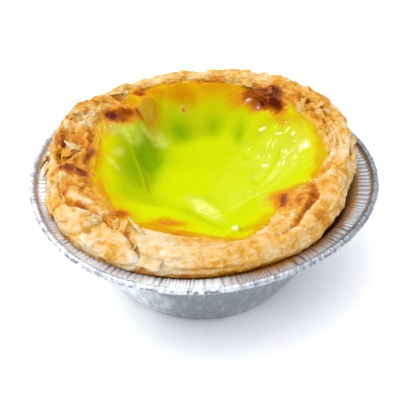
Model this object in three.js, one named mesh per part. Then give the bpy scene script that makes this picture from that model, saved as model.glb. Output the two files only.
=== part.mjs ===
// An egg tart baked in its own foil cup: a pleated foil cup with a rolled rim, a flaky
// pastry shell that stands in it and leans out over its flange, and the custard that
// fills the shell and has sunk into a deep dish. Millimetres, +Z up. The origin is the
// centre of the cup's flat base, +X is to the right and +Y to the back of the tart.

import * as THREE from 'three';

// ---------------------------------------------------------------- driving dimensions

const foil = {
  rimRadius: 40, // outer edge of the rolled bead
  beadInner: 38.4, // inner foot of the bead
  beadHeight: 1.6, // bead above the underside of the flange
  flangeZ: 25.2, // underside of the flange
  wallTopRadius: 35.0,
  wallTopZ: 24.6,
  wallMidRadius: 25.5,
  wallMidZ: 8,
  cornerRadius: 20.9,
  cornerZ: 1.4,
  baseRadius: 18.6,
  thickness: 0.4,
  pleats: 96,
  pleatDepth: 0.3, // half the height of a pleat on the wall
  flangePleatDepth: 0.11, // half the height of a pleat on the flange
};

// A hand-bent rim is a little out of round: two and three lobes, size and direction.
const outOfRound = { two: 0.37, twoAt: 38, three: 0.78, threeAt: 8 };

const pastry = {
  offset: -1.1, // the shell has slid to the left of the cup's centre
  steps: 108, // facets round the shell
  bottomZ: 0.8,
  bottomRadius: 17.3,
  heelRadius: 19.3,
  heelZ: 2.1,
  wallGap: 1.7, // shell wall to the outside of the foil, where it stands clear
  leastGap: 1.25, // the same where it leans on the foil
  flareZ: 25.6, // the wall goes straight up past the flange to here
  overhangZ: 27.1, // underside of the rim where it leans over the flange
  outerRadius: 36.1,
  crestZ: 32.6,
  crestTilt: 1.7, // the back of the rim is this much higher than its mean
  crestTiltAt: 85,
  crestInset: 4.2, // crest inside the outer face
  edgeZ: 30.5, // height of the custard's edge on the rim
  edgeTilt: 1.5,
  edgeTiltAt: 100,
  mouthRadius: 27.3,
  mouthShift: 3.6, // the mouth lies towards the back right
  mouthShiftAt: 55,
  thickness: 3.4,
  floorZ: 4.0, // top of the pastry floor
  floorRadius: 16.8,
};

// The rim's surface is broken layers: large torn plates with smaller flakes on them. Counts
// are the plates round the rim and across it, heights are from the smooth section.
const plates = { round: 34, across: 4, height: 1.5, inset: 0.35, seed: 3 };
const flakes = { round: 78, across: 8, height: 0.7, seed: 8 };

// Bulges of the rim, each at an angle, with a width in degrees and a height.
const outerBulges = [
  { at: 38, width: 24, by: 1.9 },
  { at: 104, width: 14, by: -0.6 },
  { at: 174, width: 18, by: -1.6 },
  { at: 238, width: 20, by: 0.6 },
  { at: 292, width: 30, by: -1.1 },
  { at: 326, width: 9, by: -0.5 },
];
const crestBulges = [
  { at: 50, width: 18, by: 0.3 },
  { at: 98, width: 10, by: -0.2 },
  { at: 124, width: 15, by: -0.9 },
  { at: 160, width: 22, by: 0.5 },
];
const mouthBulges = [
  { at: 98, width: 20, by: 1.1 },
  { at: 132, width: 12, by: 1.8 },
  { at: 170, width: 20, by: -2.4 },
  { at: 232, width: 8, by: 3.6 },
  { at: 286, width: 7, by: 3.0 },
  { at: 330, width: 10, by: -6.2 }, // the folded-in lobe of the rim
  { at: 350, width: 10, by: -1.5 },
];

// The lobe at the front right is cut off from the rim by a groove.
const lobe = { from: 315, to: 347, grooveRadius: 27.3, grooveDepth: 1.5, grooveWidth: 1.0 };

// The front left has a seam where the dough overlaps, running outwards and round.
const seam = { at: 236, radius: 27.2, perMm: 1.69, width: 2.4, depth: 1.3, overlap: 0.8 };

// A lower layer shows along the front, under a step.
const ledge = { from: 256, to: 289, z: 28.2, depth: 0.9, height: 0.9 };

const custardFill = {
  gap: 0.35, // to the pastry
  floorZ: 22.7, // bottom of the sunken dish
  slopeFrom: 0.42, // share of the radius where the dish starts to rise
  slopeTo: 1.0, // and where it reaches its edge
};
const custardBlister = { x: -12, y: 21.5, radius: 3.3, height: 2.0 };

// -------------------------------------------------------------------- small helpers

const radians = (degrees) => (degrees * Math.PI) / 180;
const mix = (a, b, share) => a + (b - a) * share;

function smoothstep(low, high, value) {
  const t = Math.min(1, Math.max(0, (value - low) / (high - low)));
  return t * t * (3 - 2 * t);
}

// Signed difference of two angles in degrees, from -180 to 180.
function turn(angle, from) {
  return ((((angle - from) % 360) + 540) % 360) - 180;
}

// A bell curve round the circle.
function bell(angle, at, width) {
  return Math.exp(-0.5 * (turn(angle, at) / width) ** 2);
}

function bulgeSum(angle, bulges) {
  return bulges.reduce((sum, b) => sum + b.by * bell(angle, b.at, b.width), 0);
}

// 1 between two angles, falling to 0 over a few degrees outside them.
function sector(angle, from, to, soft) {
  const middle = (from + to) / 2;
  const half = (to - from) / 2;
  return 1 - smoothstep(half - soft, half + soft, Math.abs(turn(angle, middle)));
}

// Repeatable random numbers from 0 to 1.
function randomSource(seed) {
  let state = seed >>> 0;
  return () => {
    state = (Math.imul(state, 1664525) + 1013904223) >>> 0;
    return state / 4294967296;
  };
}

// Broken plates on a jittered lattice that closes round the circle. A point belongs to
// the plate whose middle is nearest, and stands at that plate's level plus its slope.
function brokenPlates({ round, across, seed }) {
  const random = randomSource(seed);
  const plate = () => ({
    u: random(),
    v: random(),
    level: 2 * random() - 1,
    slopeU: 2 * random() - 1,
    slopeV: 2 * random() - 1,
  });
  const lattice = Array.from({ length: round * (across + 2) }, plate);
  return (angle, share) => {
    const u = ((((angle % 360) + 360) % 360) / 360) * round;
    const v = share * across + 0.5;
    let nearest = Infinity;
    let height = 0;
    for (let j = Math.max(0, Math.floor(v) - 1); j <= Math.floor(v) + 1; j += 1) {
      for (let i = Math.floor(u) - 1; i <= Math.floor(u) + 1; i += 1) {
        const cell = lattice[((i + round) % round) + round * Math.min(across + 1, j)];
        const du = u - i - cell.u;
        const dv = v - j - cell.v;
        if (du * du + dv * dv < nearest) {
          nearest = du * du + dv * dv;
          height = 0.5 * cell.level + 0.8 * (cell.slopeU * du + cell.slopeV * dv);
        }
      }
    }
    return height;
  };
}

// A closed surface from rings of points. The rings go up the outside and back down the
// inside, or down the outside if falling is true. A ring of one point is a pole.
function closedSurface(rings, falling = false) {
  const around = Math.max(...rings.map((ring) => ring.length));
  const positions = [];
  const starts = rings.map((ring) => {
    const start = positions.length / 3;
    ring.forEach((point) => positions.push(...point));
    return start;
  });
  const vertex = (j, i) => starts[j] + (rings[j].length === 1 ? 0 : i % around);
  const indices = [];
  for (let j = 0; j < rings.length - 1; j += 1) {
    for (let i = 0; i < around; i += 1) {
      const a = vertex(j, i);
      const b = vertex(j, i + 1);
      const c = vertex(j + 1, i + 1);
      const d = vertex(j + 1, i);
      if (a !== b) indices.push(...(falling ? [a, c, b] : [a, b, c]));
      if (c !== d) indices.push(...(falling ? [a, d, c] : [a, c, d]));
    }
  }
  const geometry = new THREE.BufferGeometry();
  geometry.setAttribute('position', new THREE.Float32BufferAttribute(positions, 3));
  geometry.setIndex(indices);
  return geometry;
}

// A point of a clamped uniform cubic B-spline.
function splinePoint(controls, share) {
  const last = controls.length - 1;
  const knots = [0, 0, 0];
  for (let k = 0; k <= last - 2; k += 1) knots.push(k / (last - 2));
  knots.push(1, 1, 1);
  const t = Math.min(share, 1 - 1e-9);
  let span = 3;
  while (knots[span + 1] <= t) span += 1;
  const points = controls.slice(span - 3, span + 1).map((point) => [...point]);
  for (let level = 1; level <= 3; level += 1) {
    for (let k = 3; k >= level; k -= 1) {
      const left = knots[span - 3 + k];
      const right = knots[span + 1 + k - level];
      const w = (t - left) / (right - left);
      points[k] = points[k].map((value, axis) => mix(points[k - 1][axis], value, w));
    }
  }
  return points[3];
}

// -------------------------------------------------------------------------- foil cup

function rimDeviation(angle) {
  const two = outOfRound.two * Math.cos(radians(2 * (angle - outOfRound.twoAt)));
  const three = outOfRound.three * Math.cos(radians(3 * (angle - outOfRound.threeAt)));
  return two + three;
}

// The rim is bent out of round, the base is not.
const bendShare = (z) => smoothstep(foil.cornerZ, foil.wallTopZ, z);

// Outer radius of the cup's wall, which bulges a little, before it is bent.
function foilWallRadius(z) {
  if (z < foil.wallMidZ) {
    const share = (z - foil.cornerZ) / (foil.wallMidZ - foil.cornerZ);
    return mix(foil.cornerRadius, foil.wallMidRadius, share);
  }
  const share = (z - foil.wallMidZ) / (foil.wallTopZ - foil.wallMidZ);
  return mix(foil.wallMidRadius, foil.wallTopRadius, share);
}

// The section of the cup, from the middle of the base out, up, over the bead and back
// inside. Each row is radius, height, pleat depth across the wall and pleat depth in z.
function foilSection() {
  const t = foil.thickness;
  const deep = foil.pleatDepth;
  const flat = foil.flangePleatDepth;
  const beadTop = foil.flangeZ + foil.beadHeight;
  return [
    [foil.baseRadius, 0, 0, 0],
    [foil.cornerRadius, foil.cornerZ, deep * 0.4, 0],
    [foil.wallMidRadius, foil.wallMidZ, deep * 0.9, 0],
    [foil.wallTopRadius, foil.wallTopZ, deep, 0],
    [foil.wallTopRadius + 0.5, foil.flangeZ - 0.1, deep * 0.5, flat],
    [foil.beadInner, foil.flangeZ, 0, flat],
    [foil.rimRadius, foil.flangeZ + 0.5, 0.05, 0],
    [foil.rimRadius - 0.6, beadTop, 0.05, 0.05],
    [foil.beadInner + 0.1, foil.flangeZ + 0.7, 0, flat],
    [foil.wallTopRadius + 0.2, foil.flangeZ + t, deep * 0.5, flat],
    [foil.wallTopRadius - t, foil.wallTopZ + 0.2, deep, 0],
    [foil.wallMidRadius - t * 1.15, foil.wallMidZ + 0.1, deep * 0.9, 0],
    [foil.cornerRadius - t * 1.3, foil.cornerZ + 0.3, deep * 0.4, 0],
    [foil.baseRadius - 0.2, t, 0, 0],
  ];
}

function foilCup() {
  const steps = foil.pleats * 2;
  const ring = ([radius, z, across, along]) =>
    Array.from({ length: steps }, (_, i) => {
      const angle = (360 * i) / steps;
      const side = i % 2 ? 1 : -1;
      const r = radius + rimDeviation(angle) * bendShare(z) + side * across;
      return [r * Math.cos(radians(angle)), r * Math.sin(radians(angle)), z + side * along];
    });
  return closedSurface([[[0, 0, 0]], ...foilSection().map(ring), [[0, 0, foil.thickness]]]);
}

// --------------------------------------------------------------------------- pastry

// The shell stands centred on the base and leans to one side further up.
const shellCentre = (z) => pastry.offset * smoothstep(foil.wallMidZ, foil.wallTopZ, z);

function shellPoint(angle, radius, z) {
  const turnBy = radians(angle);
  return [shellCentre(z) + radius * Math.cos(turnBy), radius * Math.sin(turnBy), z];
}

// Outer radius of the shell's wall: clear of the foil, and nearer where it leans on it.
function shellWallRadius(angle, z) {
  const free = foilWallRadius(z) - pastry.wallGap;
  const lean = -shellCentre(z) * Math.cos(radians(angle));
  const limit = foilWallRadius(z) + rimDeviation(angle) * bendShare(z) + lean - pastry.leastGap;
  return Math.min(free, limit);
}

const outerRadius = (angle) => pastry.outerRadius + bulgeSum(angle, outerBulges);

function crestHeight(angle) {
  const tilt = pastry.crestTilt * Math.cos(radians(angle - pastry.crestTiltAt));
  return pastry.crestZ + tilt + bulgeSum(angle, crestBulges);
}

function mouthRadius(angle) {
  const shift = pastry.mouthShift * Math.cos(radians(angle - pastry.mouthShiftAt));
  return pastry.mouthRadius + shift + bulgeSum(angle, mouthBulges);
}

function edgeHeight(angle) {
  return pastry.edgeZ + pastry.edgeTilt * Math.cos(radians(angle - pastry.edgeTiltAt));
}

// The rim's section: up past the flange, out over it, over the crest and down to the
// custard's edge.
function rimControls(angle) {
  const wall = shellWallRadius(angle, foil.wallTopZ);
  const outer = outerRadius(angle);
  const crest = crestHeight(angle);
  const crestRadius = outer - pastry.crestInset;
  const mouth = mouthRadius(angle);
  const edge = edgeHeight(angle);
  return [
    [wall, pastry.flareZ],
    [wall + 0.1, pastry.flareZ + 1.0],
    [outer - 0.2, pastry.overhangZ],
    [outer + 0.7, pastry.overhangZ + 1.8],
    [outer, crest - 1.3],
    [crestRadius + 1.9, crest + 0.6],
    [crestRadius - 1.2, crest + 0.2],
    [mix(crestRadius, mouth, 0.7), mix(crest, edge, 0.6)],
    [mouth, edge + 0.1],
  ];
}

const plateHeight = brokenPlates(plates);
const flakeHeight = brokenPlates(flakes);

// Height of the rim's relief above its smooth section: broken layers, the groove behind
// the lobe, the seam with its overlap, and the step along the front.
function rimRelief(angle, share, radius, z) {
  const window = smoothstep(0.08, 0.3, share) * (1 - smoothstep(0.86, 1, share));
  const rough = 0.3 + 0.7 * bell(angle, 175, 55) + 0.25 * bell(angle, 50, 40);
  const broken = plates.height * plateHeight(angle, share) + flakes.height * flakeHeight(angle, share);
  const crags = rough * (broken - plates.inset) * window;

  const inner = share > 0.5 ? sector(angle, lobe.from, lobe.to, 5) : 0;
  const fromGroove = (radius - lobe.grooveRadius) / lobe.grooveWidth;
  const groove = -lobe.grooveDepth * inner * Math.exp(-(fromGroove ** 2));

  const fromSeam = turn(angle, seam.at + seam.perMm * (radius - seam.radius));
  const cut = -seam.depth * Math.exp(-((fromSeam / seam.width) ** 2));
  const over = fromSeam < 0 ? seam.overlap * Math.exp(fromSeam / 7) : 0;
  const seamRelief = (cut + over) * smoothstep(0.2, 0.3, share) * (1 - smoothstep(0.8, 0.95, share));

  const outside = 1 - smoothstep(0.4, 0.5, share);
  const under = Math.exp(-(((z - ledge.z) / ledge.height) ** 2));
  const step = -ledge.depth * under * outside * sector(angle, ledge.from, ledge.to, 3);
  return crags + groove + seamRelief + step;
}

const rimRows = 17;

// A point of the rim's surface: the section moved along its own normal by the relief.
function rimPoint(angle, share) {
  const controls = rimControls(angle);
  const [radius, z] = splinePoint(controls, share);
  const [r0, z0] = splinePoint(controls, Math.max(0, share - 0.02));
  const [r1, z1] = splinePoint(controls, Math.min(1, share + 0.02));
  const length = Math.hypot(r1 - r0, z1 - z0);
  const normal = [(z1 - z0) / length, -(r1 - r0) / length];
  const relief = rimRelief(angle, share, radius, z);
  return [radius + normal[0] * relief, z + normal[1] * relief];
}

// Rings of the shell's inner face, from the custard's edge down to the pastry floor. The
// custard uses the same ones, a gap further in.
function innerFace(gap) {
  const wall = (z) => (angle) => [shellWallRadius(angle, z) - pastry.thickness - gap, z];
  return [
    (angle) => [mouthRadius(angle) - gap, edgeHeight(angle) - 1.7],
    wall(21.5),
    wall(9),
    () => [pastry.floorRadius - gap, pastry.floorZ + gap],
  ];
}

function shellRing(section) {
  return Array.from({ length: pastry.steps }, (_, i) => {
    const angle = (360 * i) / pastry.steps;
    const [radius, z] = section(angle);
    return shellPoint(angle, radius, z);
  });
}

function pastryCrust() {
  const wall = (z) => (angle) => [shellWallRadius(angle, z), z];
  const lower = [
    () => [pastry.bottomRadius, pastry.bottomZ],
    () => [pastry.heelRadius, pastry.heelZ],
    wall(foil.wallMidZ),
    wall(foil.wallTopZ),
  ];
  const rim = Array.from({ length: rimRows }, (_, k) => (angle) => rimPoint(angle, k / (rimRows - 1)));
  const rings = [...lower, ...rim, ...innerFace(0)].map(shellRing);
  return closedSurface([[[0, 0, pastry.bottomZ]], ...rings, [[0, 0, pastry.floorZ]]]);
}

// -------------------------------------------------------------------------- custard

// Height of the custard's dish at an angle and a share of the mouth's radius. The back
// falls steeply, the sides more gently, and the front left has a raised shoulder.
function custardHeight(angle, share) {
  const back = Math.max(0, Math.cos(radians(angle - 85))) ** 1.5;
  const from = custardFill.slopeFrom + 0.2 * back - 0.12 * bell(angle, 215, 40);
  const to = custardFill.slopeTo - 0.33 * bell(angle, 248, 20) - 0.12 * bell(angle, 180, 28);
  const rise = smoothstep(from, to, share);
  const edge = edgeHeight(angle) - 0.15;
  const radius = share * mouthRadius(angle);
  const x = radius * Math.cos(radians(angle)) - custardBlister.x;
  const y = radius * Math.sin(radians(angle)) - custardBlister.y;
  const blister = Math.exp(-(x * x + y * y) / (2 * custardBlister.radius ** 2));
  const freeEdge = 1 - smoothstep(0.85, 1, share);
  return mix(custardFill.floorZ, edge, rise) + custardBlister.height * blister * freeEdge;
}

function custardBody() {
  const gap = custardFill.gap;
  const shares = [0.15, 0.3, 0.44, 0.56, 0.68, 0.8, 0.91, 1];
  const top = shares.map((share) => (angle) => [
    share * (mouthRadius(angle) - gap),
    custardHeight(angle, share),
  ]);
  const rings = [...top, ...innerFace(gap)].map(shellRing);
  const middle = [pastry.offset, 0, custardHeight(0, 0)];
  const bottom = [0, 0, pastry.floorZ + gap];
  return closedSurface([[middle], ...rings, [bottom]], true);
}

// -------------------------------------------------------------------------- assembly

const finishes = {
  foil: { color: 0xc4c8cc, roughness: 0.32, metalness: 1.0 },
  crust: { color: 0xe9b769, roughness: 0.75, metalness: 0.0 },
  custard: { color: 0xc8dc14, roughness: 0.25, metalness: 0.0 },
};

function namedMesh(name, geometry, finish) {
  geometry.computeVertexNormals();
  const mesh = new THREE.Mesh(geometry, new THREE.MeshStandardMaterial(finish));
  mesh.name = name;
  return mesh;
}

const eggTart = new THREE.Group();
eggTart.add(namedMesh('foil_cup', foilCup(), finishes.foil));
eggTart.add(namedMesh('pastry_crust', pastryCrust(), finishes.crust));
eggTart.add(namedMesh('custard', custardBody(), finishes.custard));

export default eggTart;
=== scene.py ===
import math

import bpy
import numpy as np
from mathutils import Matrix, Vector


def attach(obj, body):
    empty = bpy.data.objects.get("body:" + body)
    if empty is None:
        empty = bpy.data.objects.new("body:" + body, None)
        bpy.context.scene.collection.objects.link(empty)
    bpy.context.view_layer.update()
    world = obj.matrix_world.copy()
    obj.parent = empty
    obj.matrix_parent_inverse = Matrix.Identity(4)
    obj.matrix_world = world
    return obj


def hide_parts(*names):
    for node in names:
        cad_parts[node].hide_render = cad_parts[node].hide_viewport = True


# Egg tart in a pleated foil cup. Shapes are worked out in millimetres in the frame of the
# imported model, +Z up, and turned into metres when a mesh is made.

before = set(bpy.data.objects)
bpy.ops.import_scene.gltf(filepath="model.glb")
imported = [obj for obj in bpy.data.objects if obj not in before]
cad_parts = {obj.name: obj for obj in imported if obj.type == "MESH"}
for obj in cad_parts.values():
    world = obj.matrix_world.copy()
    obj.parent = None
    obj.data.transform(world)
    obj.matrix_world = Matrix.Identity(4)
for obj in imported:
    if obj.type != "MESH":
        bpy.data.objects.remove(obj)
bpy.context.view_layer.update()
millimetre = 0.001
print("frame loaded")


# Small formulas on whole arrays, angles in degrees.

def smoothstep(low, high, value):
    # 0 below low, 1 above high, 3t^2 - 2t^3 between
    t = unit((value - low) / (high - low))
    return t * t * (3 - 2 * t)


def fade(low, high, value):
    # the same step downwards: 1 below low, 0 above high
    return 1 - smoothstep(low, high, value)


def ridge(away, width):
    # bell curve of a distance
    return np.exp(-(away / width) ** 2)


def unit(value):
    return np.clip(value, 0, 1)


def mix(a, b, share):
    # a where share is 0, b where it is 1
    return a + (b - a) * share


def turn(angle, origin):
    # signed difference of two angles, -180 to 180
    return (angle - origin + 180) % 360 - 180


def bell(angle, at, width):
    # bell curve of an angle
    return np.exp(-0.5 * (turn(angle, at) / width) ** 2)


def bulgeSum(angle, rows):
    # sum of bell curves round the circle, one for each row of place, width and height
    return sum(by * bell(angle, at, width) for at, width, by in rows)


def sector(angle, start, end, soft):
    # 1 between two angles, easing to 0 outside them
    middle, half = (start + end) / 2, (end - start) / 2
    return fade(half - soft, half + soft, np.abs(turn(angle, middle)))


def cosDegrees(angle):
    return np.cos(np.radians(angle))


def sinDegrees(angle):
    return np.sin(np.radians(angle))


def rotated(x, y, degrees):
    # the same place along and across a heading
    cos, sin = cosDegrees(degrees), sinDegrees(degrees)
    return x * cos + y * sin, y * cos - x * sin


def stepsRound(count):
    # evenly spaced angles, in one row
    return np.arange(count)[None] * 360.0 / count


def polar(radius, angle, z, centre=0):
    # points round an upright axis that may stand off to one side
    x, y = centre + radius * cosDegrees(angle), radius * sinDegrees(angle)
    return np.stack(np.broadcast_arrays(x, y, z), -1)


def tall(points, share):
    # the same points with their heights scaled, so that noise is drawn out or pressed flat
    return points * np.array([1, 1, share])


def unitLong(vectors, axis=-1):
    # the same directions, 1 long
    return vectors / np.maximum(np.linalg.norm(vectors, axis=axis, keepdims=True), 1e-9)


def lengthAlong(path):
    # how far along a line of points each of them lies
    return np.concatenate([[0], np.cumsum(np.linalg.norm(np.diff(path, axis=0), axis=1))])


def hashed(seed, cells):
    # repeatable random number from 0 to 1 for each whole-number cell, by multiply and shift
    state = np.full(cells.shape[:-1], seed * 7919 + 17, np.uint64)
    for axis in range(cells.shape[-1]):
        state = (state ^ cells[..., axis].astype(np.uint64)) * np.uint64(0x9E3779B97F4A7C15)
        state ^= state >> np.uint64(29)
    state = state * np.uint64(0xBF58476D1CE4E5B9)
    return ((state ^ (state >> np.uint64(32))) >> np.uint64(11)).astype(float) / 2.0**53


corners = np.array(np.meshgrid([0, 1], [0, 1], [0, 1], indexing="ij")).reshape(3, -1).T
neighbours = np.array(np.meshgrid([-1, 0, 1], [-1, 0, 1], [-1, 0, 1], indexing="ij")).reshape(3, -1).T


def noise(points, size, seed, octaves=1):
    # random numbers at the corners of a lattice, blended with eased weights, -1 to 1
    total, weights = 0.0, 0.0
    for octave in range(octaves):
        scaled = points * (2.0**octave / size) + 31.7 * octave
        base = np.floor(scaled)
        t = smoothstep(0, 1, scaled - base)
        value = 0.0
        for corner in corners:
            share = np.prod(np.where(corner == 1, t, 1 - t), axis=-1)
            value = value + share * hashed(seed + octave, (base + corner).astype(np.int64))
        total = total + (2 * value - 1) * 0.55**octave
        weights += 0.55**octave
    return total / weights


def facets(points, size, seed):
    # each point belongs to the nearest jittered cell: the cell's tilted height there, its
    # random tone, and how far inside it the point lies
    scaled = points / size
    base = np.floor(scaled).astype(np.int64)
    nearest = np.full(scaled.shape[:-1], 9.0)
    second, tilt, tone = nearest.copy(), np.zeros_like(nearest), np.zeros_like(nearest)
    for shift in neighbours:
        cell = base + shift
        away = scaled - cell - np.stack([hashed(seed + axis, cell) for axis in range(3)], -1)
        distance = np.sqrt((away**2).sum(-1))
        slope = sum(away[..., axis] * (2 * hashed(seed + 5 + axis, cell) - 1) for axis in range(3))
        level = 2 * hashed(seed + 9, cell) - 1
        nearer = distance < nearest
        second = np.where(nearer, nearest, np.minimum(second, distance))
        tilt = np.where(nearer, 0.5 * level + slope, tilt)
        tone = np.where(nearer, level, tone)
        nearest = np.where(nearer, distance, nearest)
    return tilt, tone, second - nearest


def sheets(field, lip, dip, edge):
    # torn sheets, one at each whole number of the field: highest at its free edge, with a
    # lifted lip there, and sunk where it runs under the next one
    within = field - np.floor(field)
    free = np.exp(-within / edge)
    under = np.exp(-(1 - within) / edge)
    return 0.5 - within + lip * free - dip * under, free


def pathDistance(points, path):
    # distance of each point from a line of points
    path = np.asarray(path, float)
    best = np.full(points.shape[:-1], 1e9)
    for a, b in zip(path[:-1], path[1:]):
        along = unit(((points - a) @ (b - a)) / ((b - a) @ (b - a)))
        best = np.minimum(best, np.linalg.norm(points - a - along[..., None] * (b - a), axis=-1))
    return best


def spotMask(points, rows, ragged, soft=False):
    # ellipses in plan with ragged edges: x, y, half sizes, turn and strength. Soft ones fade
    # as bell curves and add up, the others take the strongest
    mask = np.zeros(points.shape[:-1])
    for x, y, halfX, halfY, turned, strength in rows:
        along, across = rotated(points[..., 0] - x, points[..., 1] - y, turned)
        reach = np.hypot(along / halfX, across / halfY) + ragged
        if soft:
            mask = mask + strength * np.exp(-1.1 * np.maximum(reach, 0) ** 2)
        else:
            mask = np.maximum(mask, strength * fade(0.25, 1.45, reach))
    return unit(mask)


def softened(grid, rows, columns):
    # running mean over a window of rows and columns, closed round the columns
    padded = np.pad(grid, ((rows, rows), (0, 0)), mode="edge")
    total = sum(padded[k:k + len(grid)] for k in range(2 * rows + 1)) / (2 * rows + 1)
    return sum(np.roll(total, k, 1) for k in range(-columns, columns + 1)) / (2 * columns + 1)


def surfaceNormals(points):
    # cross product of the differences round and along, for rings that close round
    along = np.gradient(points, axis=0)
    around = np.roll(points, -1, 1) - np.roll(points, 1, 1)
    return unitLong(np.cross(around, along))


def capped(points, ceiling):
    # above the ceiling only a quarter of the rise is left
    z = points[..., 2]
    lowered = np.where(z > ceiling, ceiling + 0.25 * (z - ceiling), z)
    return np.concatenate([points[..., :2], lowered[..., None]], -1)


def splineWeights(shares, count):
    # weight of each control point of a clamped uniform cubic B-spline, by its recursion
    knots = np.concatenate([np.zeros(3), np.linspace(0, 1, count - 2), np.ones(3)])
    t = np.clip(shares, 0, 1 - 1e-9)[:, None]
    weights = ((t >= knots[:-1]) & (t < knots[1:])).astype(float)
    for degree in (1, 2, 3):
        rise = (t - knots[:-degree]) / np.maximum(knots[degree:] - knots[:-degree], 1e-12)
        weights = (rise * weights)[:, :-1] + ((1 - rise) * weights)[:, 1:]
    return weights


def meshFrom(name, points, faces, values):
    # a smooth mesh from points in millimetres, lists of faces and a value for each point
    sizes = np.concatenate([np.full(len(group), group.shape[1]) for group in faces])
    loops = np.concatenate([group.ravel() for group in faces]).astype(np.int32)
    mesh = bpy.data.meshes.new(name)
    mesh.vertices.add(len(points))
    mesh.vertices.foreach_set("co", (points * millimetre).astype(np.float32).ravel())
    mesh.loops.add(len(loops))
    mesh.loops.foreach_set("vertex_index", loops)
    mesh.polygons.add(len(sizes))
    starts = np.concatenate([[0], np.cumsum(sizes)[:-1]]).astype(np.int32)
    mesh.polygons.foreach_set("loop_start", starts)
    mesh.polygons.foreach_set("use_smooth", np.ones(len(sizes), bool))
    mesh.update(calc_edges=True)
    for label, value in values.items():
        attribute = mesh.attributes.new(label, "FLOAT", "POINT")
        attribute.data.foreach_set("value", np.asarray(value, np.float32).ravel())
    made = bpy.data.objects.new(name, mesh)
    bpy.context.scene.collection.objects.link(made)
    return made


def ringMesh(name, rings, firstPole, lastPole, values):
    # a closed surface from rings that go up the outside and back down the inside, with a
    # fan of triangles at each pole
    rows, columns = rings.shape[:2]
    corner = np.arange(rows * columns).reshape(rows, columns)
    after = np.roll(corner, -1, 1)
    quads = np.stack([corner[:-1], after[:-1], after[1:], corner[1:]], -1).reshape(-1, 4)
    first, last = np.full(columns, rows * columns), np.full(columns, rows * columns + 1)
    lower = np.stack([first, after[0], corner[0]], -1)
    upper = np.stack([corner[-1], after[-1], last], -1)
    points = np.concatenate([rings.reshape(-1, 3), [firstPole, lastPole]])
    padded = {label: np.concatenate([value.ravel(), [value[0].mean(), value[-1].mean()]])
              for label, value in values.items()}
    return meshFrom(name, points, [quads, lower, upper], padded)


def carried(values, before, after):
    # values whose first and last rows are repeated for the rings that have none of their own
    wider = ((before, after), (0, 0))
    return {label: np.pad(value, wider, mode="edge") for label, value in values.items()}


# Foil cup: pressed foil with creases down the wall, across the flange and over the bead.

foilCup = {
    "around": 1440,
    "rows": 60,
    "creases": 198,          # round the rim
    "creaseWander": 2.3,     # how unevenly they are spaced, in creases
    "wallCrease": 0.17,      # depths in millimetres
    "flangeCrease": 0.2,
    "beadCrease": 0.28,
    "dent": 0.05,
    "wallFrom": (1, 6),      # heights and radii between which each part begins or ends
    "wallTo": (34, 34.8),
    "flangeFrom": (33.6, 35),
    "flangeTo": (38, 38.6),
    "beadFrom": (38.2, 38.8),
    "bentTwo": (0.37, 38),   # the rim is out of round: height and direction of two lobes
    "bentThree": (0.78, 8),  # and of three
    "profile": [             # radius and height, up the outside and back down the inside
        (9, 0), (18.4, 0), (20, 0.35), (20.9, 1.4), (25.5, 8), (30.2, 16.4), (34.1, 24.1), (34.6, 24.9),
        (35.4, 25.2), (38.2, 25.2), (39.2, 25.1), (39.85, 25.5), (40, 26), (39.7, 26.6), (39.1, 26.8),
        (38.55, 26.45), (38.3, 25.75), (37.6, 25.5), (35.2, 25.45), (34.35, 25.1), (33.85, 24.2),
        (29.95, 16.5), (25.25, 8.1), (20.6, 1.55), (18.4, 0.3), (9, 0.3),
    ],
    "oilArcs": [             # browned oil inside the bead: middle angle, half width, strength
        (-2, 34, 1), (186, 34, 0.8), (216, 16, 0.45), (110, 50, 0.5),
    ],
}
# the bare wall's radius and height at its corner, its middle and its top
wallCorner, wallMiddle, wallTop = (20.9, 1.4), (25.5, 8.0), (35.0, 24.6)


def rimBend(angle):
    # cosine waves of two and three lobes round the rim
    two, three = foilCup["bentTwo"], foilCup["bentThree"]
    return two[0] * cosDegrees(2 * (angle - two[1])) + three[0] * cosDegrees(3 * (angle - three[1]))


def bendShare(z):
    # the base is round and the rim fully bent
    return smoothstep(wallCorner[1], wallTop[1], z)


def foilWallRadius(z):
    # straight lines from the corner to the middle of the wall and on to its top
    lower, upper = (start[0] + (z - start[1]) * (end[0] - start[0]) / (end[1] - start[1])
                    for start, end in ((wallCorner, wallMiddle), (wallMiddle, wallTop)))
    return np.where(z < wallMiddle[1], lower, upper)


def resampled(path, count):
    # the same line, with so many points evenly along it
    length = lengthAlong(path)
    even = np.linspace(0, length[-1], count)
    return np.stack([np.interp(even, length, path[:, axis]) for axis in range(2)], -1)


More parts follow.
